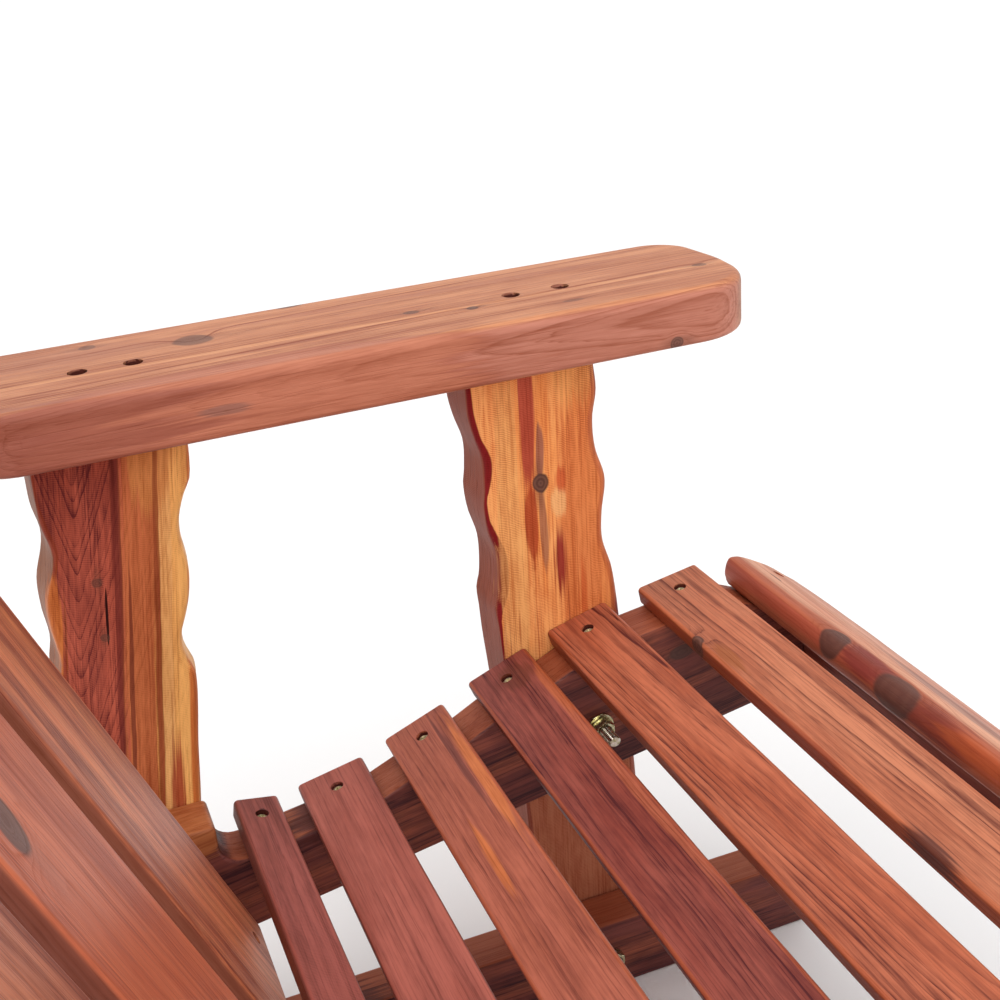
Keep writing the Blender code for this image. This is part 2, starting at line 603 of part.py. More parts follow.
# ---------------------------------------------------------------- the swing
def build_seat(swing):
    """Contoured rails, slats, front live-edge slat and apron.  Returns the side rails."""
    rails = {
        "left": make_rail("seat_rail_left", -HALF_SEAT, -RAIL_INNER, side_rail_outline(), swing),
        "right": make_rail("seat_rail_right", RAIL_INNER, HALF_SEAT, side_rail_outline(), swing),
    }
    make_rail("seat_rail_middle", -RAIL_THICKNESS / 2, RAIL_THICKNESS / 2,
              middle_rail_outline(), swing)
    screw_x = (-HALF_SEAT + SCREW_END_INSET, 0, HALF_SEAT - SCREW_END_INSET)
    slats = [(make_slat(i, s, swing), s, slat_width(i) / 2, 0)
             for i, s in enumerate(SLAT_STATIONS)]
    along, share = FRONT_SLAT_CROWN
    slats.append((make_front_slat(swing), FRONT_SLAT_STATION, along,
                  share * FRONT_SLAT_THICKNESS))
    for item, station, along, down in slats:
        holes = bmesh.new()
        spot = slat_point(station, along, down)
        into = slat_axes(station[2])[1]
        for x in screw_x:
            add_screw_hole(holes, (x, *spot), (0, *into))
        cut(item, item.name + "_holes", holes, swing)

    face = RAIL_FRONT - FIT - APRON_THICKNESS
    head = apron_top()
    foot = head - APRON_DEPTH
    apron = box_object("front_apron", (-HALF_SEAT, face, foot),
                       (HALF_SEAT, face + APRON_THICKNESS, head), "rail_cedar", swing,
                       RAIL_ROUNDOVER)
    holes = bmesh.new()
    middle_z = (max(rail_bottom(RAIL_FRONT), foot) + head) / 2
    for x in screw_x:
        for z in (middle_z - APRON_SCREW_RISE, middle_z + APRON_SCREW_RISE):
            add_screw_hole(holes, (x, face, z), (0, 1, 0))
    cut(apron, "apron_holes", holes, swing)
    return rails


def build_sides(swing, seat_rails):
    """Arms, live-edge supports and lower rails, bolted together on each side."""
    edges = {"front": (FRONT_SUPPORT_FRONT, FRONT_SUPPORT_REAR),
             "rear": (REAR_SUPPORT_FRONT, REAR_SUPPORT_REAR)}
    rail_holes = {}
    for label, side in SIDES.items():
        make_arm(label, side, swing)
        lower_rail = make_lower_rail("lower_rail_" + label, side, swing)
        seat_holes, lower_holes = bmesh.new(), bmesh.new()
        for place, (front, rear) in edges.items():
            where = "%s_%s" % (place, label)
            support = make_support("arm_support_" + where, side, front, rear, swing)
            holes = bmesh.new()
            for spot, rail in ((EYE_BOLTS, seat_holes), (RAIL_BOLTS, seat_holes),
                               (FOOT_BOLTS, lower_holes)):
                add_bolt_hole(holes, side, *spot[place])
                add_bolt_hole(rail, side, *spot[place])
            cut(support, "support_holes_" + where, holes, swing)
            eye_bolt(where, side, *EYE_BOLTS[place], swing)
            carriage_bolt("rail_" + where, side, *RAIL_BOLTS[place], RAIL_INNER, swing)
            carriage_bolt("foot_" + where, side, *FOOT_BOLTS[place], LOWER_RAIL_INNER, swing)
        rail_holes[label] = ((seat_rails[label], seat_holes, LOWER_BACK_RAIL),
                             (lower_rail, lower_holes, BASE_STRETCHER))
    return rail_holes


def build_back(swing, rail_holes):
    """Leaning back: boards on two rails, two posts behind them, and the base stretcher."""
    back = empty("back", (0, BACK_FOOT_Y, BACK_FOOT_Z), (-LEAN, 0, 0), swing)
    bars = {
        "lower_back_rail": (RAIL_INNER - FIT, LOWER_BACK_RAIL),
        "upper_back_rail": (BACK_HALF_WIDTH, TOP_RAIL),
        "base_stretcher": (LOWER_RAIL_INNER - FIT, BASE_STRETCHER),
    }
    for name, (half, (low, high)) in bars.items():
        box_object(name, (-half, RAIL_LAYER, low), (half, RAIL_LAYER + BACK_STOCK, high),
                   "rail_cedar", back, RAIL_ROUNDOVER)

    screw_rows = ((BOARD_FOOT + LOWER_BACK_RAIL[1]) / 2, (TOP_RAIL[0] + TOP_RAIL[1]) / 2)
    for k in range(BOARD_COUNT):
        x = (k - (BOARD_COUNT - 1) / 2) * BOARD_PITCH
        board = make_board(k + 1, x, back)
        holes = bmesh.new()
        for dx in (-BOARD_WIDTH / 4, BOARD_WIDTH / 4):
            for row in screw_rows:
                add_screw_hole(holes, (x + dx, 0, row), (0, 1, 0))
        cut(board, board.name + "_holes", holes, back)

    rear = POST_LAYER + BACK_STOCK
    for label, side in SIDES.items():
        x = side * POST_X
        post = box_object("back_post_" + label, (x - POST_WIDTH / 2, POST_LAYER, POST_FOOT),
                          (x + POST_WIDTH / 2, rear, TOP_RAIL[1]), "rail_cedar", back,
                          RAIL_ROUNDOVER)
        holes = bmesh.new()
        for _, (low, high) in bars.values():
            for dx in (-POST_WIDTH / 4, POST_WIDTH / 4):
                row = (max(low, POST_FOOT) + high) / 2
                add_screw_hole(holes, (x + dx, rear, row), (0, -1, 0))
        cut(post, post.name + "_holes", holes, back)

    for label, side in SIDES.items():
        for rail, holes, (low, high) in rail_holes[label]:
            for share in (0.25, 0.75):
                y, z = back_point(RAIL_LAYER + BACK_STOCK / 2, low + (high - low) * share)
                add_screw_hole(holes, (side * HALF_SEAT, y, z), (-side, 0, 0))
            cut(rail, rail.name + "_holes", holes, swing)


def build():
    clear_scene()
    front = min(slat_point(FRONT_SLAT_STATION, a, s * FRONT_SLAT_THICKNESS).x
                for a, s in FRONT_SLAT_FRONT_EDGE) - FRONT_SLAT_WANE
    rear = back_point(POST_LAYER + BACK_STOCK, TOP_RAIL[1]).x
    swing = empty("porch_swing_seat", (0, -(front + rear) / 2, 0))
    seat_rails = build_seat(swing)
    rail_holes = build_sides(swing, seat_rails)
    build_back(swing, rail_holes)


build()
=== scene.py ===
"""Looks of the porch swing seat: rustic red cedar, satin clear finish, yellow zinc hardware."""
from math import atan2, cos, pi, radians, sin, tan

import bmesh
import bpy
from mathutils import Matrix, Vector, noise


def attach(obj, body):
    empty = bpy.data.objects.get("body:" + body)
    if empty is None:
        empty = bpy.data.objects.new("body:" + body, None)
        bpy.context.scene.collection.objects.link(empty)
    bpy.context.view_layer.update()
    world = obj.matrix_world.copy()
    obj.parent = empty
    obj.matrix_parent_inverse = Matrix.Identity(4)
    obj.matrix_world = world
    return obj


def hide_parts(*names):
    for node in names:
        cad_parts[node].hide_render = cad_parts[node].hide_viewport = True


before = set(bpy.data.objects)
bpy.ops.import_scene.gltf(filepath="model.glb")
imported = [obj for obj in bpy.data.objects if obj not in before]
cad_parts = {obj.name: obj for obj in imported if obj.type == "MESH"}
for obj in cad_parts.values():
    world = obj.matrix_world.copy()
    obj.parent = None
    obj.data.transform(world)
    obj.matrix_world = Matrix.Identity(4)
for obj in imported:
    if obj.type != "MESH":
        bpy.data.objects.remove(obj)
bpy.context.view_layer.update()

# ---------- sizes as in the CAD, in metres
SHIFT = 0.08467179536819458    # from the rear edge of the rearmost slat to the frame's origin
HALF_SEAT = 0.5715
STOCK = 0.0381
FIT = 0.0003
ARM_TOP, ARM_THICKNESS, ARM_WIDTH = 0.576, 0.04, 0.1345
ARM_FRONT, ARM_REAR = -0.414, 0.137
ARM_X = HALF_SEAT - 0.0421 + ARM_WIDTH / 2
ARM_OUTER_CORNER, ARM_INNER_CORNER, ARM_END_CROWN = 0.034, 0.048, 0.006
ARM_ROUNDOVER, ARM_UNDER_ROUNDOVER = 0.007, 0.0045
SUPPORT_INNER = HALF_SEAT + FIT
SUPPORT_OUTER = SUPPORT_INNER + STOCK
SUPPORT_FOOT = 0.006
SUPPORT_ROWS = 110
SUPPORT_EDGE, SUPPORT_INNER_ROUND, SUPPORT_LUMP = 0.004, 0.008, 0.0005
SLANT_UP, SLANT_FORWARD = 0.006, 0.003    # from a live edge's one face to the other
SLAT_THICKNESS = 0.0151
SLAT_STATIONS = (    # (y, height, slope in degrees) of each slat's upper rear edge
    (0.0, 0.2509, -10.4), (-0.0463, 0.2481, 11.4), (-0.1142, 0.266, 21.0),
    (-0.1825, 0.2949, 20.7), (-0.2482, 0.3208, 15.0), (-0.3248, 0.3378, 9.7),
)
SLAT_WIDTHS = (0.0321,) + (0.0508,) * 5
FRONT_STATION = (-0.404, 0.3435, -29.0)
FRONT_THICKNESS = 0.02
FRONT_REAR_EDGE = (    # (distance along the slope, share of the thickness)
    (0.014, -0.23), (0.005, -0.15), (-0.0005, 0.01), (-0.001, 0.4), (0.003, 0.75), (0.015, 1.0),
)
FRONT_FRONT_EDGE = (
    (0.076, 1.0), (0.084, 0.86), (0.086, 0.6), (0.08, 0.28), (0.07, 0.05), (0.058, -0.06),
)
FRONT_CROWN = (0.034, -0.23)
FRONT_MIDDLE = (0.042, 0.008)
FRONT_END_ROUND, EDGE_WANDER = 0.004, 0.0022
RAIL_FRONT, RAIL_REAR = -0.45, 0.125
RAIL_SLOPE, RAIL_BOTTOM = 9.1, 0.168    # the bottom's height is at y = 0
RAIL_INNER = HALF_SEAT - STOCK
HORN_TOP, HORN_FRONT, HORN_FOOT = 0.259, 0.019, 0.2264
FLATS_REAR = -0.003
LOWER_RAIL_FRONT, LOWER_RAIL_REAR, LOWER_RAIL_HEIGHT = -0.455, 0.14, 0.064
LEAN = radians(21.6)
TO_FRONT = (0, -cos(LEAN), sin(LEAN))    # out of the back boards' faces
BACK_FOOT = (0.0202, 0.246)    # a point of the boards' front plane, from which it leans
BOARD_WIDTH, BOARD_GAP, BOARD_THICKNESS, BOARD_LENGTH = 0.1397, 0.024, 0.019, 0.6096
BOARD_FOOT, BOARD_CORNER, BOARD_CLEARANCE = -0.038, 0.03, 0.001
BOARD_HEAD = BOARD_FOOT + BOARD_LENGTH
RAIL_LAYER = BOARD_THICKNESS + FIT
POST_LAYER = RAIL_LAYER + STOCK + FIT
LOWER_BACK_RAIL = (-0.07, 0.0062)
BASE_STRETCHER = (-0.2335, -0.1825)
POST_FOOT, POST_WIDTH = -0.2155, 0.0889
TOP_RAIL = (BOARD_HEAD - 0.1, BOARD_HEAD - 0.0365)
BOARD_PITCH = BOARD_WIDTH + BOARD_GAP
POST_X = (6 * BOARD_PITCH - BOARD_GAP - BOARD_WIDTH) / 2
APRON_THICKNESS, APRON_DEPTH = 0.019, 0.0635
ARM_SCREW_X = 0.019
ARM_SCREW_Y = (0.0461, 0.0114, -0.2463, -0.2833)
SCREW_X = (-HALF_SEAT + 0.0215, 0, HALF_SEAT - 0.0215)
BORES = dict.fromkeys(("slat", "board", "frame"), (0.0095, 0.0055))    # (width, depth)
BORES["arm"] = (0.0127, 0.013)
SCREW_HEAD = 0.002
BOLT = 0.0095
SHANK, TIP = BOLT / 2 - 0.0002, BOLT / 2 - 0.001
THREAD_PITCH, THREAD_DEPTH, THREAD_LENGTH = 0.00159, 0.0009, 0.052
EYE_RADIUS, EYE_TAIL = 0.014, 0.026
WASHER_RIM, WASHER_THICKNESS = 0.0103, 0.002
NUT_FLATS, NUT_HEIGHT = 0.0143, 0.0083
EYE_BOLTS = {"front": (-0.2715, 0.253), "rear": (0.095, 0.188)}
RAIL_BOLTS = {"front": (-0.243, 0.231), "rear": (0.095, 0.238)}
FOOT_BOLTS = {"front": (-0.272, 0.032), "rear": (0.089, 0.032)}
SIDES = {"left": -1, "right": 1}
LIVE_EDGES_MM = {    # (height, y) down the front and the rear edge of each support
    "front": ((
    (543, -298.4), (522, -299.8), (501, -301.2), (480, -297.4), (457, -298.3), (432, -305),
    (405, -301.3), (383, -300.6), (358, -307.2), (327, -310.6), (273, -314), (218, -316.5),
    (171, -320), (113, -319), (0, -323.5)
    ), (
    (543, -198.5), (522, -198.8), (507, -199), (491, -202), (472, -207.3), (450, -206.7),
    (438, -204.9), (418, -206.5), (395, -212.3), (366, -211.4), (353, -208.1), (337, -208.8),
    (312, -210), (281, -212.4), (218, -218), (143, -220.5), (0, -224)
    )),
    "rear": ((
    (543, -13.9), (522, -12.3), (507, -11.2), (497, -9.7), (488, -4.9), (478, -0.8),
    (466, 2.4), (455, 2.9), (444, 1.8), (432, 1.2), (416, 3.6), (400, 8.5), (389, 12.8),
    (378, 14.3), (368, 12.4), (357, 9), (340, 9.8), (307, 14.4), (261, 20.3), (208, 26),
    (148, 30), (93, 37), (0, 42)
    ), (
    (543, 89.7), (509, 90.5), (491, 90.5), (473, 87.8), (461, 89.5), (439, 96.6), (418, 98),
    (395, 96.5), (378, 100.2), (333, 105.2), (283, 108.7), (228, 116.2), (163, 121.7),
    (103, 127.2), (0, 134.7)
    )),
}

GRAIN_LEAN = {"front": -0.025, "rear": -0.145}
KNIFE_CUTS = {    # (height, half height, depth) of the deeper cuts along a support's inner edge
    "front": ((0.505, 0.03, 0.0025), (0.462, 0.022, 0.004), (0.38, 0.04, 0.006)),
    "rear": ((0.47, 0.03, 0.002), (0.4, 0.04, 0.003)),
}


# ---------- side geometry
def slat_axes(slope):
    a = radians(slope)
    return Vector((-cos(a), sin(a))), Vector((-sin(a), -cos(a)))


def slat_point(station, along, down):
    forward, into = slat_axes(station[2])
    return Vector(station[:2]) + forward * along + into * down


def rail_bottom(y):
    return RAIL_BOTTOM - y * tan(radians(RAIL_SLOPE))


def back_point(out, up):
    return Vector((BACK_FOOT[0] + up * sin(LEAN) + out * cos(LEAN),
                   BACK_FOOT[1] + up * cos(LEAN) - out * sin(LEAN)))


def rounded(points, steps=6):
    """Outline with each (y, z, radius) corner turned into an arc."""
    outline = []
    for i, (y, z, radius) in enumerate(points):
        corner = Vector((y, z))
        to_last, to_next = ((Vector(points[k % len(points)][:2]) - corner).normalized()
                            for k in (i - 1, i + 1))
        if radius == 0:
            outline.append(corner)
            continue
        half = to_last.angle(to_next) / 2
        centre = corner + (to_last + to_next).normalized() * (radius / sin(half))
        start, end = (corner + to * (radius / tan(half)) - centre for to in (to_last, to_next))
        a0 = atan2(start.y, start.x)
        sweep = (atan2(end.y, end.x) - a0 + pi) % (2 * pi) - pi
        for k in range(steps + 1):
            a = a0 + sweep * k / steps
            outline.append(centre + Vector((cos(a), sin(a))) * radius)
    return outline


def along_edge(nodes, height):
    """Smooth curve through a live edge's (height, y) nodes, listed from the top down."""
    for i in range(len(nodes) - 1):
        (z0, y0), (z1, y1) = nodes[i], nodes[i + 1]
        if height >= z1:
            break
    t = max(0.0, min(1.0, (z0 - height) / (z0 - z1)))
    before = nodes[max(i - 1, 0)]
    after = nodes[min(i + 2, len(nodes) - 1)]
    m0 = (y1 - before[1]) / (before[0] - z1) * (z0 - z1)
    m1 = (after[1] - y0) / (z0 - after[0]) * (z0 - z1)
    return (y0 * (2 * t ** 3 - 3 * t ** 2 + 1) + m0 * (t ** 3 - 2 * t ** 2 + t)
            + y1 * (3 * t ** 2 - 2 * t ** 3) + m1 * (t ** 3 - t ** 2))


def slid(point, slope, y):
    """A point moved to y along a slat's slope."""
    forward, _ = slat_axes(slope)
    return point + forward * ((point.x - y) / -forward.x)


def seat_rail(rear_corners):
    """Outline of a seat rail: its rear end, a flat for each slat, and its nose."""
    pads = []
    for station, width in zip(SLAT_STATIONS, SLAT_WIDTHS):
        pads += [slat_point(station, along, SLAT_THICKNESS + FIT) for along in (0, width)]
    pads[0] = slid(pads[0], SLAT_STATIONS[0][2], FLATS_REAR)
    under = slat_point(FRONT_STATION, FRONT_REAR_EDGE[-1][0], FRONT_THICKNESS + FIT)
    pads += [under, slid(under, FRONT_STATION[2], RAIL_FRONT)]
    nose = (RAIL_FRONT, rail_bottom(RAIL_FRONT), 0.004)
    return rounded(rear_corners + [(p.x, p.y, 0) for p in pads] + [nose])


def side_rail_outline():
    return seat_rail([(RAIL_REAR, rail_bottom(RAIL_REAR), 0.006), (RAIL_REAR, HORN_TOP, 0.006),
                      (HORN_FRONT, HORN_TOP, 0.004), (HORN_FRONT, HORN_FOOT, 0.0155),
                      (FLATS_REAR, HORN_FOOT, 0)])


def middle_rail_outline():
    top = back_point(BOARD_THICKNESS, BOARD_FOOT).y - BOARD_CLEARANCE
    face = back_point(RAIL_LAYER - FIT, LOWER_BACK_RAIL[0])
    tail_top = face.x + (top - face.y) * tan(LEAN)
    low = rail_bottom(face.x)
    tail_low = face.x + (low - face.y) * tan(LEAN)
    return seat_rail([(tail_low, low, 0), (tail_top, top, 0), (FLATS_REAR, top, 0)])


# ---------- mesh tools
def axes(along, normal, origin):
    """Placement with local X along the grain and local Z out of a face."""
    u, w = Vector(along).normalized(), Vector(normal).normalized()
    turn = Matrix((u, w.cross(u), w)).transposed().to_4x4()
    return Matrix.Translation(Vector(origin)) @ turn


def looking_along(origin, direction):
    turn = Vector(direction).to_track_quat("Z", "Y").to_matrix().to_4x4()
    return Matrix.Translation(Vector(origin)) @ turn


def shown(place):
    """The same placement after the side frame's shift."""
    return Matrix.Translation((0, SHIFT, 0)) @ place


def quarter(steps):
    """Angles over a quarter turn."""
    return [pi / 2 * k / steps for k in range(steps + 1)]


def circle(steps):
    """Angles once round."""
    return [2 * pi * k / steps for k in range(steps)]


def polar(radius, turn, height):
    return Vector((radius * cos(turn), radius * sin(turn), height))


def loft(rings, bm=None, closed=False):
    """Skin over rings of points, with flat ends unless the rings close on themselves."""
    if bm is None:
        bm = bmesh.new()
    rings = [[bm.verts.new(point) for point in ring] for ring in rings]
    if not closed:
        for ring in (rings[0], rings[-1]):
            if len(ring) > 1:
                bm.faces.new(ring)
    for low, high in zip(rings, rings[1:] + rings[:1] if closed else rings[1:]):
        for k in range(max(len(low), len(high))):
            corners = (low[k % len(low)], low[(k + 1) % len(low)],
                       high[(k + 1) % len(high)], high[k % len(high)])
            bm.faces.new(list(dict.fromkeys(corners)))
    return bm


def turned(profile, place=Matrix(), segments=32, bm=None):
    """(radius, height) points turned about local Z; one that starts off the axis is closed."""
    rings = [[place @ polar(radius, a, height) for a in circle(segments if radius > 0 else 1)]
             for radius, height in profile]
    return loft(rings, bm, closed=profile[0][0] > 0)


def as_object(name, bm):
    bmesh.ops.recalc_face_normals(bm, faces=bm.faces)
    mesh = bpy.data.meshes.new(name)
    bm.to_mesh(mesh)
    bm.free()
    item = bpy.data.objects.new(name, mesh)
    bpy.context.scene.collection.objects.link(item)
    return item


def cut_out(item, cutter, own_faces=False):
    drill = item.modifiers.new("drill", "BOOLEAN")
    drill.operation, drill.solver, drill.object = "DIFFERENCE", "EXACT", cutter
    drill.use_self = own_faces


def applied(item):
    """An object's mesh with its modifiers applied."""
    bpy.context.view_layer.update()
    graph = bpy.context.evaluated_depsgraph_get()
    return bpy.data.meshes.new_from_object(item.evaluated_get(graph))


def declare(item, node, finish, place):
    """Put a mesh made in side coordinates into its own frame, give it its finish, hang it on the
    root body and hide the CAD part, if any, that it is shown in place of.
    """
    item.data.transform(place.inverted() @ shown(Matrix()))
    item.data.materials.clear()
    item.data.materials.append(finish)
    item.matrix_world = place
    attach(item, "root")
    if node:
        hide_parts(node)


def counterbores(group, spots):
    """Cutters at (origin, direction into the wood)."""
    width, sink = BORES[group]
    bm = bmesh.new()
    for origin, into in spots:
        turned([(0, -0.01), (width / 2, -0.01), (width / 2, sink), (0, sink)],
               looking_along(origin, into), 24, bm)
    return bm


SCREWS = {}    # the places of each group's screws


def piece(name, bm, node, finish, place, bevel=0.0, screws=None, angle=38):
    """A shown wooden piece: bm is in side coordinates, place is its grain frame."""
    item = as_object(name, bm)
    mesh = item.data
    mesh.shade_smooth()
    if bevel:
        edge = item.modifiers.new("edge", "BEVEL")
        edge.width, edge.segments, edge.limit_method = bevel, 4, "ANGLE"
        edge.angle_limit = radians(50)
    cutter = None
    if screws:
        group, spots = screws
        SCREWS.setdefault(group, []).extend(spots)
        cutter = as_object(name + "_holes", counterbores(group, spots))
        cut_out(item, cutter)
    made = applied(item)
    made.shade_smooth()
    made.set_sharp_from_angle(angle=radians(angle))
    item.modifiers.clear()
    item.data = made
    weigh = item.modifiers.new("weigh", "WEIGHTED_NORMAL")
    weigh.keep_sharp, weigh.weight = True, 90
    bpy.data.meshes.remove(mesh)
    if cutter is not None:
        bpy.data.objects.remove(cutter)
    declare(item, node, finish, place)


# ---------- shader tools
def srgb(*rgb):
    return tuple(((c / 255 + 0.055) / 1.055) ** 2.4 for c in rgb) + (1.0,)


def becomes(operation):
    return lambda self, other: self.graph.math(operation, self, other)


class Signal:
    """A node's output, whose sums and products with numbers or others become Math nodes."""

    def __init__(self, graph, socket):
        self.graph, self.socket = graph, socket

    __add__, __sub__ = becomes("ADD"), becomes("SUBTRACT")
    __mul__, __truediv__ = becomes("MULTIPLY"), becomes("DIVIDE")


class Graph:
    """Short hand for building the nodes of a material or the world."""

    def __init__(self, owner, seed=0.0):
        owner.use_nodes = True
        self.owner, self.tree, self.seed = owner, owner.node_tree, seed
        self.tree.nodes.clear()

    def add(self, kind, inputs=(), **settings):
        item = self.tree.nodes.new("ShaderNode" + kind)
        for key, value in settings.items():
            setattr(item, key, value)
        for key, value in dict(inputs).items():
            if isinstance(value, Signal):
                self.tree.links.new(value.socket, item.inputs[key])
            else:
                item.inputs[key].default_value = value
        return item

    def take(self, output, kind, inputs=(), **settings):
        """The named or numbered output of a new node."""
        return Signal(self, self.add(kind, inputs, **settings).outputs[output])

    def finish(self, sockets):
        """The material, with a shader that has these inputs."""
        self.add("OutputMaterial", {0: self.take(0, "BsdfPrincipled", sockets)})
        return self.owner

    def split(self, vector):
        parts = self.add("SeparateXYZ", {0: vector})
        return [Signal(self, socket) for socket in parts.outputs]

    def math(self, operation, a, b=0.0, clamp=False):
        return self.take(0, "Math", {0: a, 1: b}, operation=operation, use_clamp=clamp)

    def vector(self, operation, a, b=(0, 0, 0)):
        output = "Value" if operation == "LENGTH" else "Vector"
        return self.take(output, "VectorMath", {0: a, 1: b}, operation=operation)

    def noise(self, vector, scale, detail=2.0, rough=0.5, more=0.0, colour=False):
        """scale is cycles a metre along local X, Y and Z; more moves it from the graph's seed."""
        seed = self.seed + more
        place = self.take(0, "Mapping", {"Vector": vector, "Scale": scale,
                                         "Location": (seed, seed * 1.7, seed * 0.6)})
        return self.take("Color" if colour else "Fac", "TexNoise", {
            "Vector": place, "Scale": 1.0, "Detail": detail, "Roughness": rough})

    def wander(self, vector, scale, detail, more, reach):
        """Noise about 0, out to about half of reach along local X, Y and Z."""
        spread = self.noise(vector, scale, detail, more=more, colour=True)
        return self.vector("MULTIPLY", self.vector("SUBTRACT", spread, (0.5,) * 3), reach)

    def remap(self, x, low, high, a=0.0, b=1.0):
        return self.take(0, "MapRange", {0: x, 1: low, 2: high, 3: a, 4: b},
                         interpolation_type="SMOOTHSTEP")

    def ramp(self, x, stops):
        item = self.add("ValToRGB", {0: x})
        elements = item.color_ramp.elements
        while len(elements) < len(stops):
            elements.new(0.5)
        for element, (place, level) in zip(elements, stops):
            element.position = place
            element.color = (level,) * 3 + (1.0,)
        return Signal(self, item.outputs[0])

    def mix(self, fac, a, b, blend="MIX"):
        return self.take(2, "Mix", {0: fac, 6: a, 7: b}, data_type="RGBA", blend_type=blend)

    def blot(self, vector, centre, size):
        """1 at a place, falling to 0 at size from it along local X, Y and Z."""
        place = self.take(0, "Mapping", {"Vector": vector, "Location": centre, "Scale": size},
                          vector_type="TEXTURE")
        return self.take("Fac", "TexGradient", {0: place}, gradient_type="SPHERICAL")

    def bump(self, height, strength, distance):
        return self.take(0, "Bump", {"Height": height, "Strength": strength,
                                     "Distance": distance})


SAW_TURNS = 2 * pi / 0.0013    # one saw mark every 1.3 mm along the grain
SMALL_KNOT = 0.009             # half length under which a knot shows rings and a halo
KNOT_HALO = (118, 74, 58)
KNOT_DARK, KNOT_LIGHT = (66, 42, 40), (112, 78, 66)
BORE_SHADE = (84, 34, 30)


def metres(features):
    """Patches or knots with their centres and half sizes in metres instead of mm."""
    return [([c / 1000 for c in centre], [c / 1000 for c in size], *rest)
            for centre, size, *rest in features]


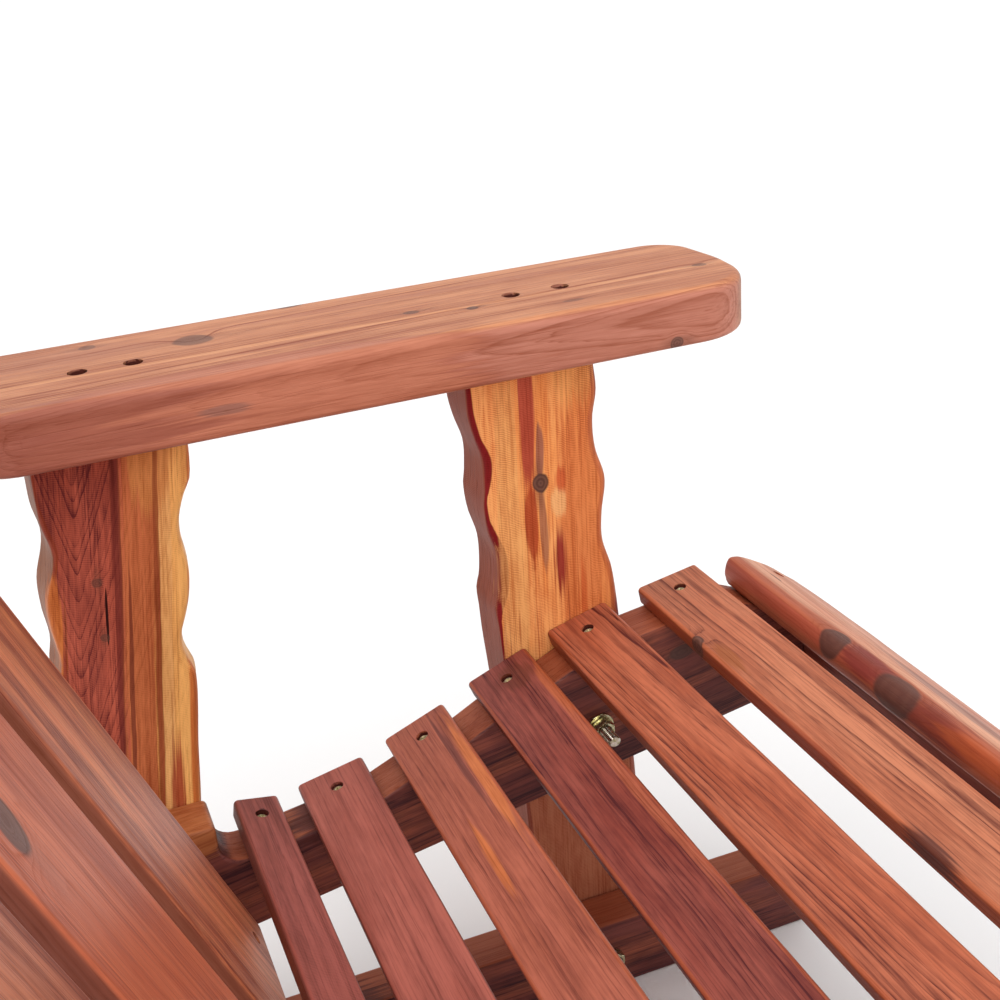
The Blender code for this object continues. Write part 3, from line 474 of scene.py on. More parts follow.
def cedar(name, light, dark, warm, seed, pith=(0.0, -0.05), cone=0.0, spacing=0.003,
          lines=0.55, wave=0.005, streaks=0.45, grain=0.5, saw=0.0, broad=70, wall=None,
          rind=None, patches=(), bores=(), knots=(), end=0.72, gloss=0.16, kept=0.7):
    """Red cedar with its grain along local X.

    pith is the log's centre across the piece, cone the log's taper, which draws the rings out
    to points, spacing the distance between rings and wave how far they wander.  lines, streaks,
    grain and saw say how strongly the growth rings, the long colour streaks, the fine striation
    and the saw marks show; broad is how many streaks there are to a metre, and kept the share
    of the rings that still shows in a patch.  wall tints the faces along the piece's edges with
    their own colour, on the sawn slats partly as painted shade; the edge band tint colours the
    band between them and the main face, on the live edges their own colour and on the sawn
    slats partly a painted highlight and partly wear; and end dims the end grain.  A patch or
    bore is (centre, half size, colour, strength, softness) and a knot is (centre, half size,
    strength), both placed in mm."""
    g = Graph(bpy.data.materials.new(name), seed)
    patches, knots = metres(patches + bores), metres(knots)
    p = g.take("Object", "TexCoord")
    bend = g.wander(p, (1.9, 6, 6), 2, 0, (0, 2 * wave, 2 * wave))
    fine = g.wander(p, (16, 90, 90), 2, 3, (0.004, 0.0018, 0.0018))
    slow = g.wander(p, (9, 26, 26), 3, 9, (0.012, 0.006, 0.006))
    q = g.vector("ADD", g.vector("ADD", p, bend), fine)
    edge_q = g.vector("ADD", g.vector("ADD", p, fine), slow)
    along, y, z = g.split(q)
    y, z = y - pith[0], z - pith[1]
    radius = g.math("SQRT", y * y + z * z)
    if cone:
        radius = radius - along * cone
    swirls = [g.math("POWER", g.blot(p, centre, [3.2 * c for c in size]), 1.7)
              * (2.0 * min(size)) for centre, size, _ in knots]
    if swirls:
        radius = radius + sum(swirls[1:], swirls[0])
    striation = g.noise(q, (5, 430, 430), 2, 0.6, 5)
    phase = (radius + striation * 0.0016) / spacing
    vary = g.take("Fac", "TexNoise", {"W": phase * 0.37, "Scale": 1.0, "Detail": 1.0},
                  noise_dimensions="1D")
    ring = g.ramp(g.math("FRACT", phase + vary * 2.6),
                  [(0.0, 0.0), (0.5, 0.05), (0.84, 0.5), (0.94, 1.0), (1.0, 0.0)])
    ring = ring * g.remap(vary, 0.34, 0.66, 0.25, 1.0)
    streak = g.noise(q, (1.6, broad, broad), 3, 0.55, 7)
    band = g.noise(q, (7, 42, 42), 3, 0.6, 11)
    fleck = g.noise(q, (60, 520, 520), 2, 0.6, 13)
    fibre = g.noise(q, (45, 1300, 1300), 1, 0.5)
    pores = g.remap(g.noise(q, (9, 820, 820), 1, 0.5, 17), 0.54, 0.68)
    mottle = g.noise(p, (26, 62, 62), 3, 0.6, 19)
    tone = (g.remap(streak, 0.3, 0.72) * streaks + (striation - 0.45) * grain
            + (fibre - 0.5) * 0.3 + (mottle - 0.5) * (0.8 * grain) + pores * (0.45 * grain)
            + (fleck - 0.5) * (1.1 * grain) + (band - 0.5) * (0.8 * grain))
    if saw:
        shiver = g.noise(p, (40, 60, 60), 2, 0.5, 2)
        tone = tone + g.math("SINE", along * SAW_TURNS + shiver * 22.0) * fleck * saw
    faint = g.math("ADD", tone, ring * (kept * lines), clamp=True)
    tone = g.math("ADD", tone, ring * lines, clamp=True)
    colour = g.mix(g.remap(band, 0.4, 0.66, 0.0, 0.75), g.mix(tone, srgb(*light), srgb(*dark)),
                   g.mix(tone, srgb(*warm), srgb(*dark)))
    endways, sideways, _ = g.split(g.take("Normal", "TexCoord"))
    sideways = g.math("ABSOLUTE", sideways)

    def shade(tint, how_dark, deep=0.68):
        """A tint and its own darker, redder shade for the lines of the figure."""
        red, green, blue = tint
        return g.mix(how_dark, srgb(*tint),
                     srgb(red * deep ** 0.6, green * deep, blue * deep ** 1.3))

    # band along the rounded edges: on the live edges their own colour, on the sawn slats partly a
    # painted highlight and partly wear
    if rind:
        colour = g.mix(g.remap(sideways, 0.08, 0.26), colour, shade(rind, tone))
    # the side faces' tint: their own colour, on the sawn slats partly painted shade that darkens
    # their edges
    if wall:
        low, high = (0.8, 0.97) if rind else (0.55, 0.9)
        colour = g.mix(g.remap(sideways, low, high), colour, shade(wall, tone, 0.72))
    for centre, size, tint, strength, soft in patches:
        feather = ((streak - 0.5) * (0.4 + 1.2 * soft)
                   + (striation - 0.5) * (0.35 + 1.3 * soft))
        mask = g.remap(g.blot(edge_q, centre, size) + feather, 0.03, 0.14 + 0.55 * soft,
                       0.0, strength)
        inside = g.remap(g.blot(edge_q, centre, [1.25 * c for c in size]), 0.0, 0.08)
        colour = g.mix(mask * inside, colour, shade(tint, faint))
    for centre, size, strength in knots:
        halo, rings = (0.55, 0.55) if size[0] < SMALL_KNOT else (0.25, 0.12)
        mask = g.blot(edge_q, centre, [1.5 * c for c in size])
        tail = g.blot(q, centre, (size[0] * 4.5, size[1] * 1.1, size[2] * 1.5))
        colour = g.mix(g.remap(tail, 0.0, 0.7, 0.0, strength * halo), colour, srgb(*KNOT_HALO))
        core = g.remap(g.math("PINGPONG", mask * 3.2 + band * 1.6, 0.5), 0.05, 0.5)
        heart = g.mix(core * rings + striation * 0.6, srgb(*KNOT_DARK), srgb(*KNOT_LIGHT))
        colour = g.mix(g.remap(mask, 0.18, 0.36, 0.0, strength), colour, heart)
    across = g.remap(g.math("ABSOLUTE", endways), 0.55, 0.9, 1.0, end)
    across = g.take(0, "CombineColor", {0: across, 1: across, 2: across})
    return g.finish({
        "Base Color": g.mix(1.0, colour, across, "MULTIPLY"),
        "Roughness": g.remap(streak * 0.7 + ring * 0.3, 0.2, 0.8, 0.4, 0.58),
        "Specular IOR Level": gloss, "Coat Weight": 0.03, "Coat Roughness": 0.3,
        "Normal": g.bump(ring * -0.6 + fibre * 0.8 - pores * 0.7, 0.35, 0.0004)})


def bore_shades(spots, face, group):
    """Patches that darken the inside of counterbores at (u, v), sunk from local height face."""
    width, sink = (1000 * size for size in BORES[group])
    return tuple(((1000 * u, 1000 * v, 1000 * face - sink * 0.64),
                  (width * 0.78, width * 0.78, sink * 0.76), BORE_SHADE, 0.95, 0.0)
                 for u, v in spots)


def looks(prefix, table, **shared):
    """Cedars for a table of light, dark and warm colour, seed and own settings."""
    return {key: cedar(f"{prefix}_{key}_look", *row[:4], **shared, **row[4])
            for key, row in table.items()}


def zinc(name, tint, rough, metal=1.0, groove_shade_and_grime=False):
    """Yellow zinc plate, uneven and stained; the groove flag paints shade and grime, nearly
    black, into the valleys of a thread cut along local Z.
    """
    g = Graph(bpy.data.materials.new(name))
    p = g.take("Object", "TexCoord")
    cloud = g.noise(p, (260, 260, 260), 3, 0.6)
    stain = g.noise(p, (900, 900, 900), 2, 0.5, 4)
    colour = g.mix(g.remap(cloud, 0.35, 0.7), srgb(*tint), srgb(168, 158, 112))
    colour = g.mix(g.remap(stain, 0.55, 0.8, 0.0, 0.5), colour, srgb(112, 108, 92))
    # painted shade and grime: inside the ridges' radius the thread's valleys turn nearly black
    if groove_shade_and_grime:
        depth = g.vector("LENGTH", g.vector("MULTIPLY", p, (1, 1, 0)))
        height = g.split(p)[2]
        cut = (g.remap(depth, 0.0039, 0.0046, 1.0, 0.0)
               * g.math("GREATER_THAN", height, -THREAD_LENGTH)
               * g.math("LESS_THAN", height, -0.0003))
        colour = g.mix(cut, colour, srgb(26, 14, 14))
    return g.finish({
        "Base Color": colour, "Metallic": metal,
        "Roughness": g.remap(cloud, 0.3, 0.7, rough - 0.08, rough + 0.14),
        "Normal": g.bump(stain, 0.15, 0.0001)})


# ---------- finishes
THROUGH = 1000    # half depth in mm of a feature that goes through the piece
ARM_KNOTS = (
    ((-106.5, 19.8, 0), (12, 10, THROUGH), 0.65),
    ((-173.9, 45.5, 0), (5, 4.5, THROUGH), 0.55),
    ((-33, 64, 20), (10, 5, 10), 0.8),
    ((38.3, -5.8, 0), (5, 3.6, THROUGH), 0.65),
    ((75.2, -20.8, 0), (3.4, 3.4, THROUGH), 0.8),
    ((138.7, -43.4, 20), (7, 2.6, 8), 0.45),
    ((249.6, -14.6, 0), (5, 3.6, THROUGH), 0.6),
    ((205.2, -67.2, -16), (4.5, 10, 4), 0.8),
)
ARM_PATCHES = (
    ((-90, -85, 20), (186, 46.2, 500), (146, 72, 58), 0.7, 0.06),
    ((-90, -85, 20), (185, 45, 500), (198, 128, 100), 0.8, 0.14),
    ((0, -16, 20), (600, 3, 10), (226, 162, 118), 0.75, 0.1),
    ((-250, -67, -4), (170, 20, 45), (160, 94, 78), 0.75, 0.45),
    ((-105.6, -67, -2), (22, 10, 5), (128, 96, 90), 0.55, 0.5),
    ((-200, 30, 20), (100, 30, 20), (186, 124, 96), 0.6, 0.7),
    ((60, 35, 20), (250, 8, 20), (176, 108, 82), 0.55, 0.7),
)
FRONT_SUPPORT_PATCHES = (
    ((100, -28, 19), (160, 34, 20), (220, 128, 74), 0.8, 0.55),
    ((80, 28, 19), (200, 13, 20), (240, 180, 112), 0.65, 0.45),
    ((235, -20, 19), (50, 22, 20), (242, 178, 106), 0.65, 0.5),
    ((205, 13.8, 19), (78, 7.6, 12), (184, 76, 62), 0.9, 0.26),
    ((162, 4.6, 19), (30, 4, 12), (156, 98, 84), 0.85, 0.25),
    ((105, 4, 19), (46, 4.4, 12), (156, 100, 80), 0.75, 0.35),
    ((112, 13, 19), (32, 6, 12), (182, 72, 42), 0.85, 0.35),
    ((78, -8, 19), (42, 7, 12), (152, 50, 44), 0.95, 0.6),
    ((122.4, -8, 19), (18, 8, 12), (246, 190, 128), 0.8, 0.45),
    ((140, -10, 19), (16, 6, 12), (204, 88, 50), 0.75, 0.6),
    ((40, -26, 19), (50, 5, 12), (210, 98, 52), 0.65, 0.7),
    ((-200, 0, 19), (200, 300, 500), (172, 100, 80), 0.85, 0.3),
)
REAR_SUPPORT_PATCHES = (
    ((100, 4, 19), (900, 15, 30), (208, 122, 74), 0.8, 0.4),
    ((100, -25, 10), (900, 17.5, 50), (255, 194, 114), 0.95, 0.16),
    ((100, -13, 19), (600, 4.2, 30), (250, 196, 128), 0.7, 0.2),
    ((235, -4, 10), (60, 20, 50), (226, 154, 90), 0.85, 0.4),
    ((100, -31, 19), (450, 6, 10), (212, 108, 50), 0.8, 0.7),
    ((140, 17.8, 19), (240, 3.6, 20), (122, 52, 46), 0.8, 0.45),
    ((80, -7.5, 19), (500, 2, 20), (156, 80, 48), 0.75, 0.35),
    ((40, 10, 19), (140, 2, 20), (112, 48, 38), 0.75, 0.3),
    ((113, 25.4, 19), (24, 1.1, 10), (48, 20, 20), 1.0, 0.02),
    ((100, 59, 19), (50, 7, 20), (214, 124, 62), 0.85, 0.35),
    ((-30, -20, 19), (60, 6, 20), (168, 56, 42), 0.85, 0.7),
)
ARM_SPOTS = [((ARM_FRONT + ARM_REAR) / 2 - y, SUPPORT_INNER + ARM_SCREW_X - ARM_X)
             for y in ARM_SCREW_Y]
ARM_BORES = {label: bore_shades([(u, side * v) for u, v in ARM_SPOTS], ARM_THICKNESS / 2, "arm")
             for label, side in SIDES.items()}
ARM = looks("arm", {
    "right": ((204, 138, 99), (142, 76, 54), (188, 118, 82), 1.0, dict(
        pith=(-0.083, 0.003), cone=0.055, spacing=0.003, lines=0.78, grain=0.5,
        wall=(189, 125, 105), end=0.62, patches=ARM_PATCHES, knots=ARM_KNOTS,
        bores=ARM_BORES["right"])),
    "left": ((204, 138, 102), (150, 82, 60), (190, 120, 86), 41.0, dict(
        pith=(-0.03, -0.09), spacing=0.0048, lines=0.45, grain=0.55, wall=(198, 128, 104),
        patches=ARM_PATCHES[5:], knots=ARM_KNOTS[1:5:2], bores=ARM_BORES["left"])),
})
SUPPORT = {
    where: looks(f"support_{where}", {"right": (*colours, seed, own),
                                      "left": (*colours, seed + 50, own)}, gloss=0.07, kept=0.25)
    for where, (*colours, seed, own) in {
        "front": ((248, 176, 108), (206, 108, 56), (238, 148, 78), 2.0, dict(
            pith=(0.02, -0.12), spacing=0.004, lines=0.22, grain=1.15, saw=0.9,
            wall=(152, 84, 64), rind=(134, 34, 36), patches=FRONT_SUPPORT_PATCHES,
            knots=(((139.5, 5, 19), (6.2, 5.6, 20), 0.95),))),
        "rear": ((194, 98, 76), (98, 38, 38), (180, 86, 64), 3.0, dict(
            pith=(0.043, 0.0165), cone=0.3, spacing=0.0042, wave=0.009, lines=0.75,
            grain=0.8, saw=0.3, wall=(146, 92, 62), rind=(156, 70, 48),
            patches=REAR_SUPPORT_PATCHES, knots=(((139.2, 30.9, 19), (3, 3.4, 10), 0.6),
                                                 ((98.4, 27.3, 19), (2.6, 3, 10), 0.6)))),
    }.items()}
BOARDS = looks("board", {
    **{k: ((198, 120, 88), (126, 62, 48), (208, 130, 94), 70.0 + 3 * k, dict(
        pith=(0.04 - 0.02 * k, -0.05), streaks=0.75, lines=0.3, wave=0.004,
        wall=(146, 84, 66))) for k in range(1, 5)},
    5: ((206, 112, 76), (144, 66, 48), (192, 98, 66), 7.0, dict(
        pith=(0.03, -0.03), streaks=0.5, lines=0.3, wall=(136, 76, 60),
        knots=(((21.6, 33.1, 0), (16, 12.5, THROUGH), 0.85),))),
    6: ((216, 128, 88), (124, 54, 42), (228, 144, 96), 5.0, dict(
        pith=(0.06, -0.05), streaks=0.8, lines=0.15, wave=0.004, spacing=0.0034,
        wall=(150, 88, 68))),
}, broad=45, grain=0.7)
# on these slats the wall tint is partly painted shade on the side faces
SLATS = looks("slat", {
    1: ((164, 88, 78), (104, 48, 42), (150, 78, 66), 11.0, dict(
        pith=(0.02, -0.05), grain=0.7, lines=0.45, saw=0.35, wall=(128, 72, 62))),
    2: ((178, 100, 86), (114, 56, 48), (166, 88, 74), 14.0, dict(
        pith=(0.06, -0.02), grain=0.6, lines=0.3, wall=(130, 70, 60))),
    3: ((182, 104, 82), (108, 50, 42), (172, 96, 72), 17.0, dict(
        pith=(0.03, -0.02), grain=0.6, lines=0.55, wave=0.009, wall=(140, 72, 54),
        rind=(186, 104, 76), patches=(
            ((475, -18.5, 0), (75, 5, THROUGH), (222, 134, 78), 0.8, 0.6),
            ((500, -11, 0), (80, 4, THROUGH), (104, 56, 54), 0.7, 0.6),
            ((400, 5, 0), (50, 4, THROUGH), (216, 126, 70), 0.8, 0.7)))),
    4: ((150, 78, 66), (80, 30, 32), (140, 64, 52), 20.0, dict(
        pith=(0.02, -0.014), cone=0.02, spacing=0.0022, grain=0.75, lines=0.8, wave=0.01,
        wall=(112, 50, 40), rind=(168, 86, 60), patches=(
            ((545, -5, 0), (20, 20, THROUGH), (116, 58, 44), 0.75, 0.5),
            ((400, -20, 0), (170, 4, THROUGH), (196, 112, 80), 0.6, 0.4),
            ((510, -22, 0), (50, 5, THROUGH), (190, 104, 66), 0.7, 0.4)))),
    5: ((190, 108, 78), (92, 38, 32), (178, 92, 62), 23.0, dict(
        pith=(-0.03, -0.02), cone=0.03, spacing=0.0036, grain=0.55, lines=1.0, wave=0.008,
        streaks=0.3, wall=(150, 76, 50), rind=(188, 104, 72))),
    6: ((200, 126, 93), (100, 46, 36), (188, 108, 76), 26.0, dict(
        pith=(0.045, -0.03), cone=-0.02, spacing=0.0036, grain=0.5, lines=0.8, wave=0.008,
        streaks=0.3, wall=(158, 80, 52), rind=(200, 118, 82),
        knots=(((478.4, 24.5, 2), (7, 5, 8), 0.95),), patches=(
            ((447, 17, 7), (24, 7.5, 10), (166, 98, 58), 0.8, 0.9),
            ((218.5, 24.6, 4), (36, 8, 12), (84, 46, 42), 0.85, 0.6),
            ((360, 24.6, 0), (100, 4, 12), (150, 70, 50), 0.7, 0.4)))),
}, bores=bore_shades([(x, 0.0) for x in SCREW_X], SLAT_THICKNESS / 2, "slat"))
LIVE = cedar(
    "live_slat_look", (222, 158, 122), (156, 88, 66), (210, 134, 98), 30.0,
    pith=(0.0, -0.06), lines=0.35, grain=0.5, wall=(172, 84, 62), rind=(188, 104, 74),
    knots=(((428, 40, 6), (12, 8.5, 12), 0.88), ((356, 41, 3), (18.5, 9.5, 14), 0.85)),
    patches=(((392.5, 39, 6), (30, 12, 12), (132, 44, 46), 0.8, 0.55),
             ((315, 42, 2), (40, 12, 12), (128, 52, 46), 0.8, 0.6),
             ((272, 42, 4), (50, 6, 8), (186, 92, 52), 0.75, 0.6),
             ((534, 21.5, 12), (8.5, 1.2, 10), (84, 44, 34), 0.9, 0.05),
             ((330, 12, 12), (80, 12, 10), (150, 112, 106), 0.6, 0.7)))
RAIL = cedar(
    "rail_look", (124, 64, 56), (62, 28, 32), (166, 90, 64), 4.0, pith=(0.05, -0.1),
    lines=0.5, streaks=0.75, grain=0.7, wall=(166, 92, 64), spacing=0.0036,
    patches=(((-190, 50, 0), (30, 20, THROUGH), (196, 122, 74), 0.8, 0.5),
             ((-100, 20, 0), (30, 20, THROUGH), (96, 48, 46), 0.8, 0.5)),
    knots=(((187.4, 31.7, 19), (9, 6, 12), 0.9),))
BACK = cedar("back_frame_look", (178, 112, 88), (116, 62, 48), (160, 92, 70), 6.0,
             pith=(0.05, -0.1))
APRON = cedar("apron_look", (170, 92, 76), (104, 50, 44), (176, 100, 74), 33.0, grain=0.6,
              streaks=0.6)
ZINC = zinc("zinc_look", (206, 200, 168), 0.2)
# the bolts get painted shade and grime in their thread valleys
BOLT_ZINC = zinc("bolt_look", (232, 220, 208), 0.22, groove_shade_and_grime=True)
SCREW_ZINC = zinc("screw_look", (236, 222, 184), 0.34, 0.55)


# ---------- arms and supports
def arm_outline(inset):
    half = ARM_WIDTH / 2 - inset
    front, rear = ARM_FRONT + inset, ARM_REAR - inset
    inner, outer = ARM_INNER_CORNER - inset, ARM_OUTER_CORNER - inset
    front_corner, rear_corner = front + ARM_END_CROWN, rear - ARM_END_CROWN
    end = ARM_WIDTH * 0.6
    return rounded([(-half, front_corner, inner), (0, front, end), (half, front_corner, outer),
                    (half, rear_corner, outer), (0, rear, end), (-half, rear_corner, inner)], 10)


def arm(label, side):
    x = side * ARM_X
    under, over = ARM_UNDER_ROUNDOVER, ARM_ROUNDOVER
    profile = [(under * (1 - sin(a)), under * (1 - cos(a)) - ARM_THICKNESS) for a in quarter(5)]
    profile += [(over * (1 - cos(a)), -over * (1 - sin(a))) for a in quarter(5)]
    bm = loft([[(x + side * p.x, p.y, ARM_TOP + z) for p in arm_outline(inset)]
               for inset, z in profile])
    spots = [((side * (SUPPORT_INNER + ARM_SCREW_X), y, ARM_TOP), (0, 0, -1))
             for y in ARM_SCREW_Y]
    place = axes((0, -1, 0), (0, 0, 1), (x, SHIFT + (ARM_FRONT + ARM_REAR) / 2,
                                         ARM_TOP - ARM_THICKNESS / 2))
    piece("arm_board_" + label, bm, "arm_" + label, ARM[label], place,
          screws=("arm", spots))


def support(where, label, side):
    """Slab with two live edges: wavy, with an uneven knife-cut edge along its inner face."""
    front, rear = ([(z / 1000, y / 1000) for z, y in edge] for edge in LIVE_EDGES_MM[where])
    top = ARM_TOP - ARM_THICKNESS - FIT
    arc = [(1 - cos(a), 1 - sin(a)) for a in quarter(4)]
    wide, r = SUPPORT_INNER_ROUND, SUPPORT_EDGE
    rings = []
    for k in range(SUPPORT_ROWS + 1):
        z = SUPPORT_FOOT + (top - SUPPORT_FOOT) * k / SUPPORT_ROWS
        f0, r1 = along_edge(front, z), along_edge(rear, z)
        f1 = along_edge(front, z + SLANT_UP) - SLANT_FORWARD
        r0 = along_edge(rear, z + SLANT_UP) - SLANT_FORWARD
        cut = 0.0028 + 0.0008 * sin(z * 95)
        for middle, half, deep in KNIFE_CUTS[where]:
            cut += deep * max(0.0, 1 - ((z - middle) / half) ** 2)
        section = [(wide * c, f0 + wide * s) for c, s in arc]
        section += [(STOCK - r * s, f1 + r * c) for c, s in arc]
        section += [(STOCK - r * c, r1 - r * s) for c, s in arc]
        section += [(cut * s, r0 - cut * c) for c, s in arc]
        ring = []
        for x, y in section:
            wall = min(1.0, max(0.0, min(x, STOCK - x) / 0.006))
            lump = noise.noise(Vector((x * 70, y * 12, z * 34 + (9 if where == "rear" else 0))))
            out = 1 if y > (f0 + r0) / 2 else -1
            ring.append((side * (SUPPORT_INNER + x), y - out * SUPPORT_LUMP * wall * lump, z))
        rings.append(ring)
    middle = (front[6][1] + rear[6][1]) / 2
    place = axes((0, GRAIN_LEAN[where], 1), (-side, 0, 0),
                 (side * (SUPPORT_INNER + STOCK / 2), SHIFT + middle, 0.3))
    piece(f"support_slab_{where}_{label}", loft(rings), f"arm_support_{where}_{label}",
          SUPPORT[where][label], place, angle=55)


# ---------- slats, boards and sticks
def stick(half, place, width, thick, seed, r=0.003, wobble=0.0003):
    """Bar along local X with rounded edges and ends, out to half its length each way."""
    half_w, half_t = width / 2, thick / 2
    end = min(r, 0.0022) * 0.6
    count = max(2, int(2 * half / 0.03))
    stations = [(-half + end * (1 - sin(a)), end * (1 - cos(a))) for a in reversed(quarter(4))]
    stations += [(-half + end + (2 * half - 2 * end) * k / count, 0.0) for k in range(1, count)]
    stations += [(half - end * (1 - sin(a)), end * (1 - cos(a))) for a in quarter(4)]
    rings = []
    for u, inset in stations:
        ring = []
        c = r - inset
        for start, (sv, sw) in enumerate(((1, 1), (-1, 1), (-1, -1), (1, -1))):
            for t in range(5):
                a = pi / 2 * (start + t / 4)
                v = sv * (half_w - inset - c) + c * cos(a)
                w = sw * (half_t - inset - c) + c * sin(a)
                v += sv * wobble * noise.noise(Vector((u * 9, sv * 3 + seed, seed)))
                w += sw * wobble * 0.6 * noise.noise(Vector((u * 7, sw * 5 + seed, seed + 4)))
                ring.append(place @ Vector((u, v, w)))
        rings.append(ring)
    return loft(rings)


def slat_frame(station, middle, screw):
    """Placement of a slat at its middle, and the places of its screws, both (along, down)."""
    _, into = slat_axes(station[2])
    place = axes((1, 0, 0), (0, -into.x, -into.y), (0, *slat_point(station, *middle)))
    spot = slat_point(station, *screw)
    return place, ("slat", [((x, *spot), (0, *into)) for x in SCREW_X])


def slat(index):
    width = SLAT_WIDTHS[index]
    place, screws = slat_frame(SLAT_STATIONS[index], (width / 2, SLAT_THICKNESS / 2),
                               (width / 2, 0))
    bm = stick(HALF_SEAT, place, width, SLAT_THICKNESS, index * 2.3, 0.0032, 0.0004)
    piece(f"slat_board_{index + 1}", bm, f"seat_slat_{index + 1}", SLATS[index + 1],
          shown(place), screws=screws)


def smooth_ring(points):
    """Closed curve through points, with three steps from each to the next."""
    n, ring = len(points), []
    for i in range(n):
        a, b, c, d = (Vector(points[(i + k) % n]) for k in (-1, 0, 1, 2))
        for t in (0, 1 / 3, 2 / 3):
            ring.append(0.5 * ((2 * b) + (c - a) * t + (2 * a - 5 * b + 4 * c - d) * t * t
                               + (3 * b - a - 3 * c + d) * t ** 3))
    return ring


def front_slat():
    """Slab from the outside of the log, with wandering natural edges."""
    steps, rings, r = 96, [], FRONT_END_ROUND
    middle = Vector(FRONT_MIDDLE)
    for k in range(-3, steps + 4):
        past = max(-k, k - steps, 0) / 3
        x = 2 * HALF_SEAT * (min(max(k, 0), steps) / steps - 0.5)
        if past:
            x += r * (sin(past * pi / 2) - 1) * (1 if k > steps / 2 else -1)
        else:
            x = max(-HALF_SEAT + r, min(HALF_SEAT - r, x))
        inset = r * (1 - cos(past * pi / 2))
        from_end = 1 - abs(x) / HALF_SEAT
        taper = 0.004 * max(0.0, 1 - from_end * 6) ** 2
        section = [(along + EDGE_WANDER * sin(19 * x + 0.6 * i) * (1 - share), share)
                   for i, (along, share) in enumerate(FRONT_REAR_EDGE)]
        section += [(along + EDGE_WANDER * sin(13 * x + 1.1) - taper, share)
                    for along, share in FRONT_FRONT_EDGE]
        section.append(FRONT_CROWN)
        ring = []
        for q in smooth_ring([(a, s * FRONT_THICKNESS) for a, s in section]):
            q = q + (middle - q).normalized() * inset
            point = slat_point(FRONT_STATION, q.x, q.y)
            lump = noise.noise(Vector((x * 22, q.x * 40, q.y * 60))) * 0.0007
            point += (slat_point(FRONT_STATION, *middle) - point).normalized() * lump
            ring.append((x, *point))
        rings.append(ring)
    crown, share = FRONT_CROWN
    place, screws = slat_frame(FRONT_STATION, middle, (crown, share * FRONT_THICKNESS))
    piece("live_edge_slat", loft(rings), "front_live_edge_slat", LIVE,
          shown(place), screws=screws, angle=50)


def apron():
    nose = min(slat_point(FRONT_STATION, along, share * FRONT_THICKNESS).y
               for along, share in FRONT_FRONT_EDGE)
    head = nose - EDGE_WANDER - FIT
    foot = head - APRON_DEPTH
    face = RAIL_FRONT - FIT - APRON_THICKNESS
    place = axes((1, 0, 0), (0, -1, 0), (0, face + APRON_THICKNESS / 2, (head + foot) / 2))
    bm = stick(HALF_SEAT, place, APRON_DEPTH, APRON_THICKNESS, 31)
    middle = (max(rail_bottom(RAIL_FRONT), foot) + head) / 2
    spots = [((x, face, middle + dz), (0, 1, 0)) for x in SCREW_X for dz in (-0.012, 0.012)]
    piece("apron_board", bm, "front_apron", APRON, shown(place),
          screws=("slat", spots))


def rail(name, node, low, high, outline, side=1, slope=RAIL_SLOPE, height=0.235):
    bm = loft([[(x, *p) for p in outline] for x in (low, high)])
    a = radians(slope)
    place = axes((0, -cos(a), sin(a)), (-side, 0, 0), ((low + high) / 2, SHIFT - 0.16, height))
    piece(name, bm, node, RAIL, place, bevel=0.003)


def back_frame(x, out, up, facing=1):
    """Placement on the leaning back, with local Z towards the sitter (1) or the rear (-1)."""
    return axes((0, sin(LEAN), cos(LEAN)), facing * Vector(TO_FRONT), (x, *back_point(out, up)))


def board(number):
    half, long = BOARD_WIDTH / 2, BOARD_LENGTH / 2
    middle = (BOARD_FOOT + BOARD_HEAD) / 2
    place = back_frame((number - 3.5) * BOARD_PITCH, BOARD_THICKNESS / 2, middle)
    outline = rounded([(-long, -half, 0), (long, -half, BOARD_CORNER),
                       (long, half, BOARD_CORNER), (-long, half, 0)], 10)
    bm = loft([[place @ Vector((*p, w)) for p in outline]
               for w in (-BOARD_THICKNESS / 2, BOARD_THICKNESS / 2)])
    rows = [(BOARD_FOOT + LOWER_BACK_RAIL[1]) / 2, sum(TOP_RAIL) / 2]
    into = place.to_3x3() @ Vector((0, 0, -1))
    spots = [(place @ Vector((row - middle, v, BOARD_THICKNESS / 2)), into)
             for row in rows for v in (-BOARD_WIDTH / 4, BOARD_WIDTH / 4)]
    piece(f"board_face_{number}", bm, f"back_board_{number}", BOARDS[number],
          shown(place), bevel=0.005, screws=("board", spots))


def bar(name, node, reach, half, seed):
    """Level bar across the leaning back."""
    p = back_point(RAIL_LAYER + STOCK / 2, sum(reach) / 2)
    place = axes((1, 0, 0), TO_FRONT, (0, *p))
    bm = stick(half, place, reach[1] - reach[0], STOCK, seed)
    piece(name, bm, node, BACK, shown(place))


def post(label, side):
    x = side * POST_X
    place = back_frame(x, POST_LAYER + STOCK / 2, (POST_FOOT + TOP_RAIL[1]) / 2, -1)
    bm = stick((TOP_RAIL[1] - POST_FOOT) / 2, place, POST_WIDTH, STOCK, 50 + side)
    spots = []
    for low, high in (LOWER_BACK_RAIL, TOP_RAIL, BASE_STRETCHER):
        row = back_point(POST_LAYER + STOCK, (max(low, POST_FOOT) + high) / 2)
        spots += [((x + dx, *row), TO_FRONT) for dx in (-POST_WIDTH / 4, POST_WIDTH / 4)]
    piece("post_board_" + label, bm, "back_post_" + label, BACK, shown(place),
          screws=("frame", spots))


# ---------- hardware
def hardware(name, bm, node=None, finish=ZINC, place=Matrix()):
    item = as_object(name, bm)
    item.data.shade_smooth()
    item.data.set_sharp_from_angle(angle=radians(32))
    declare(item, node, finish, place)


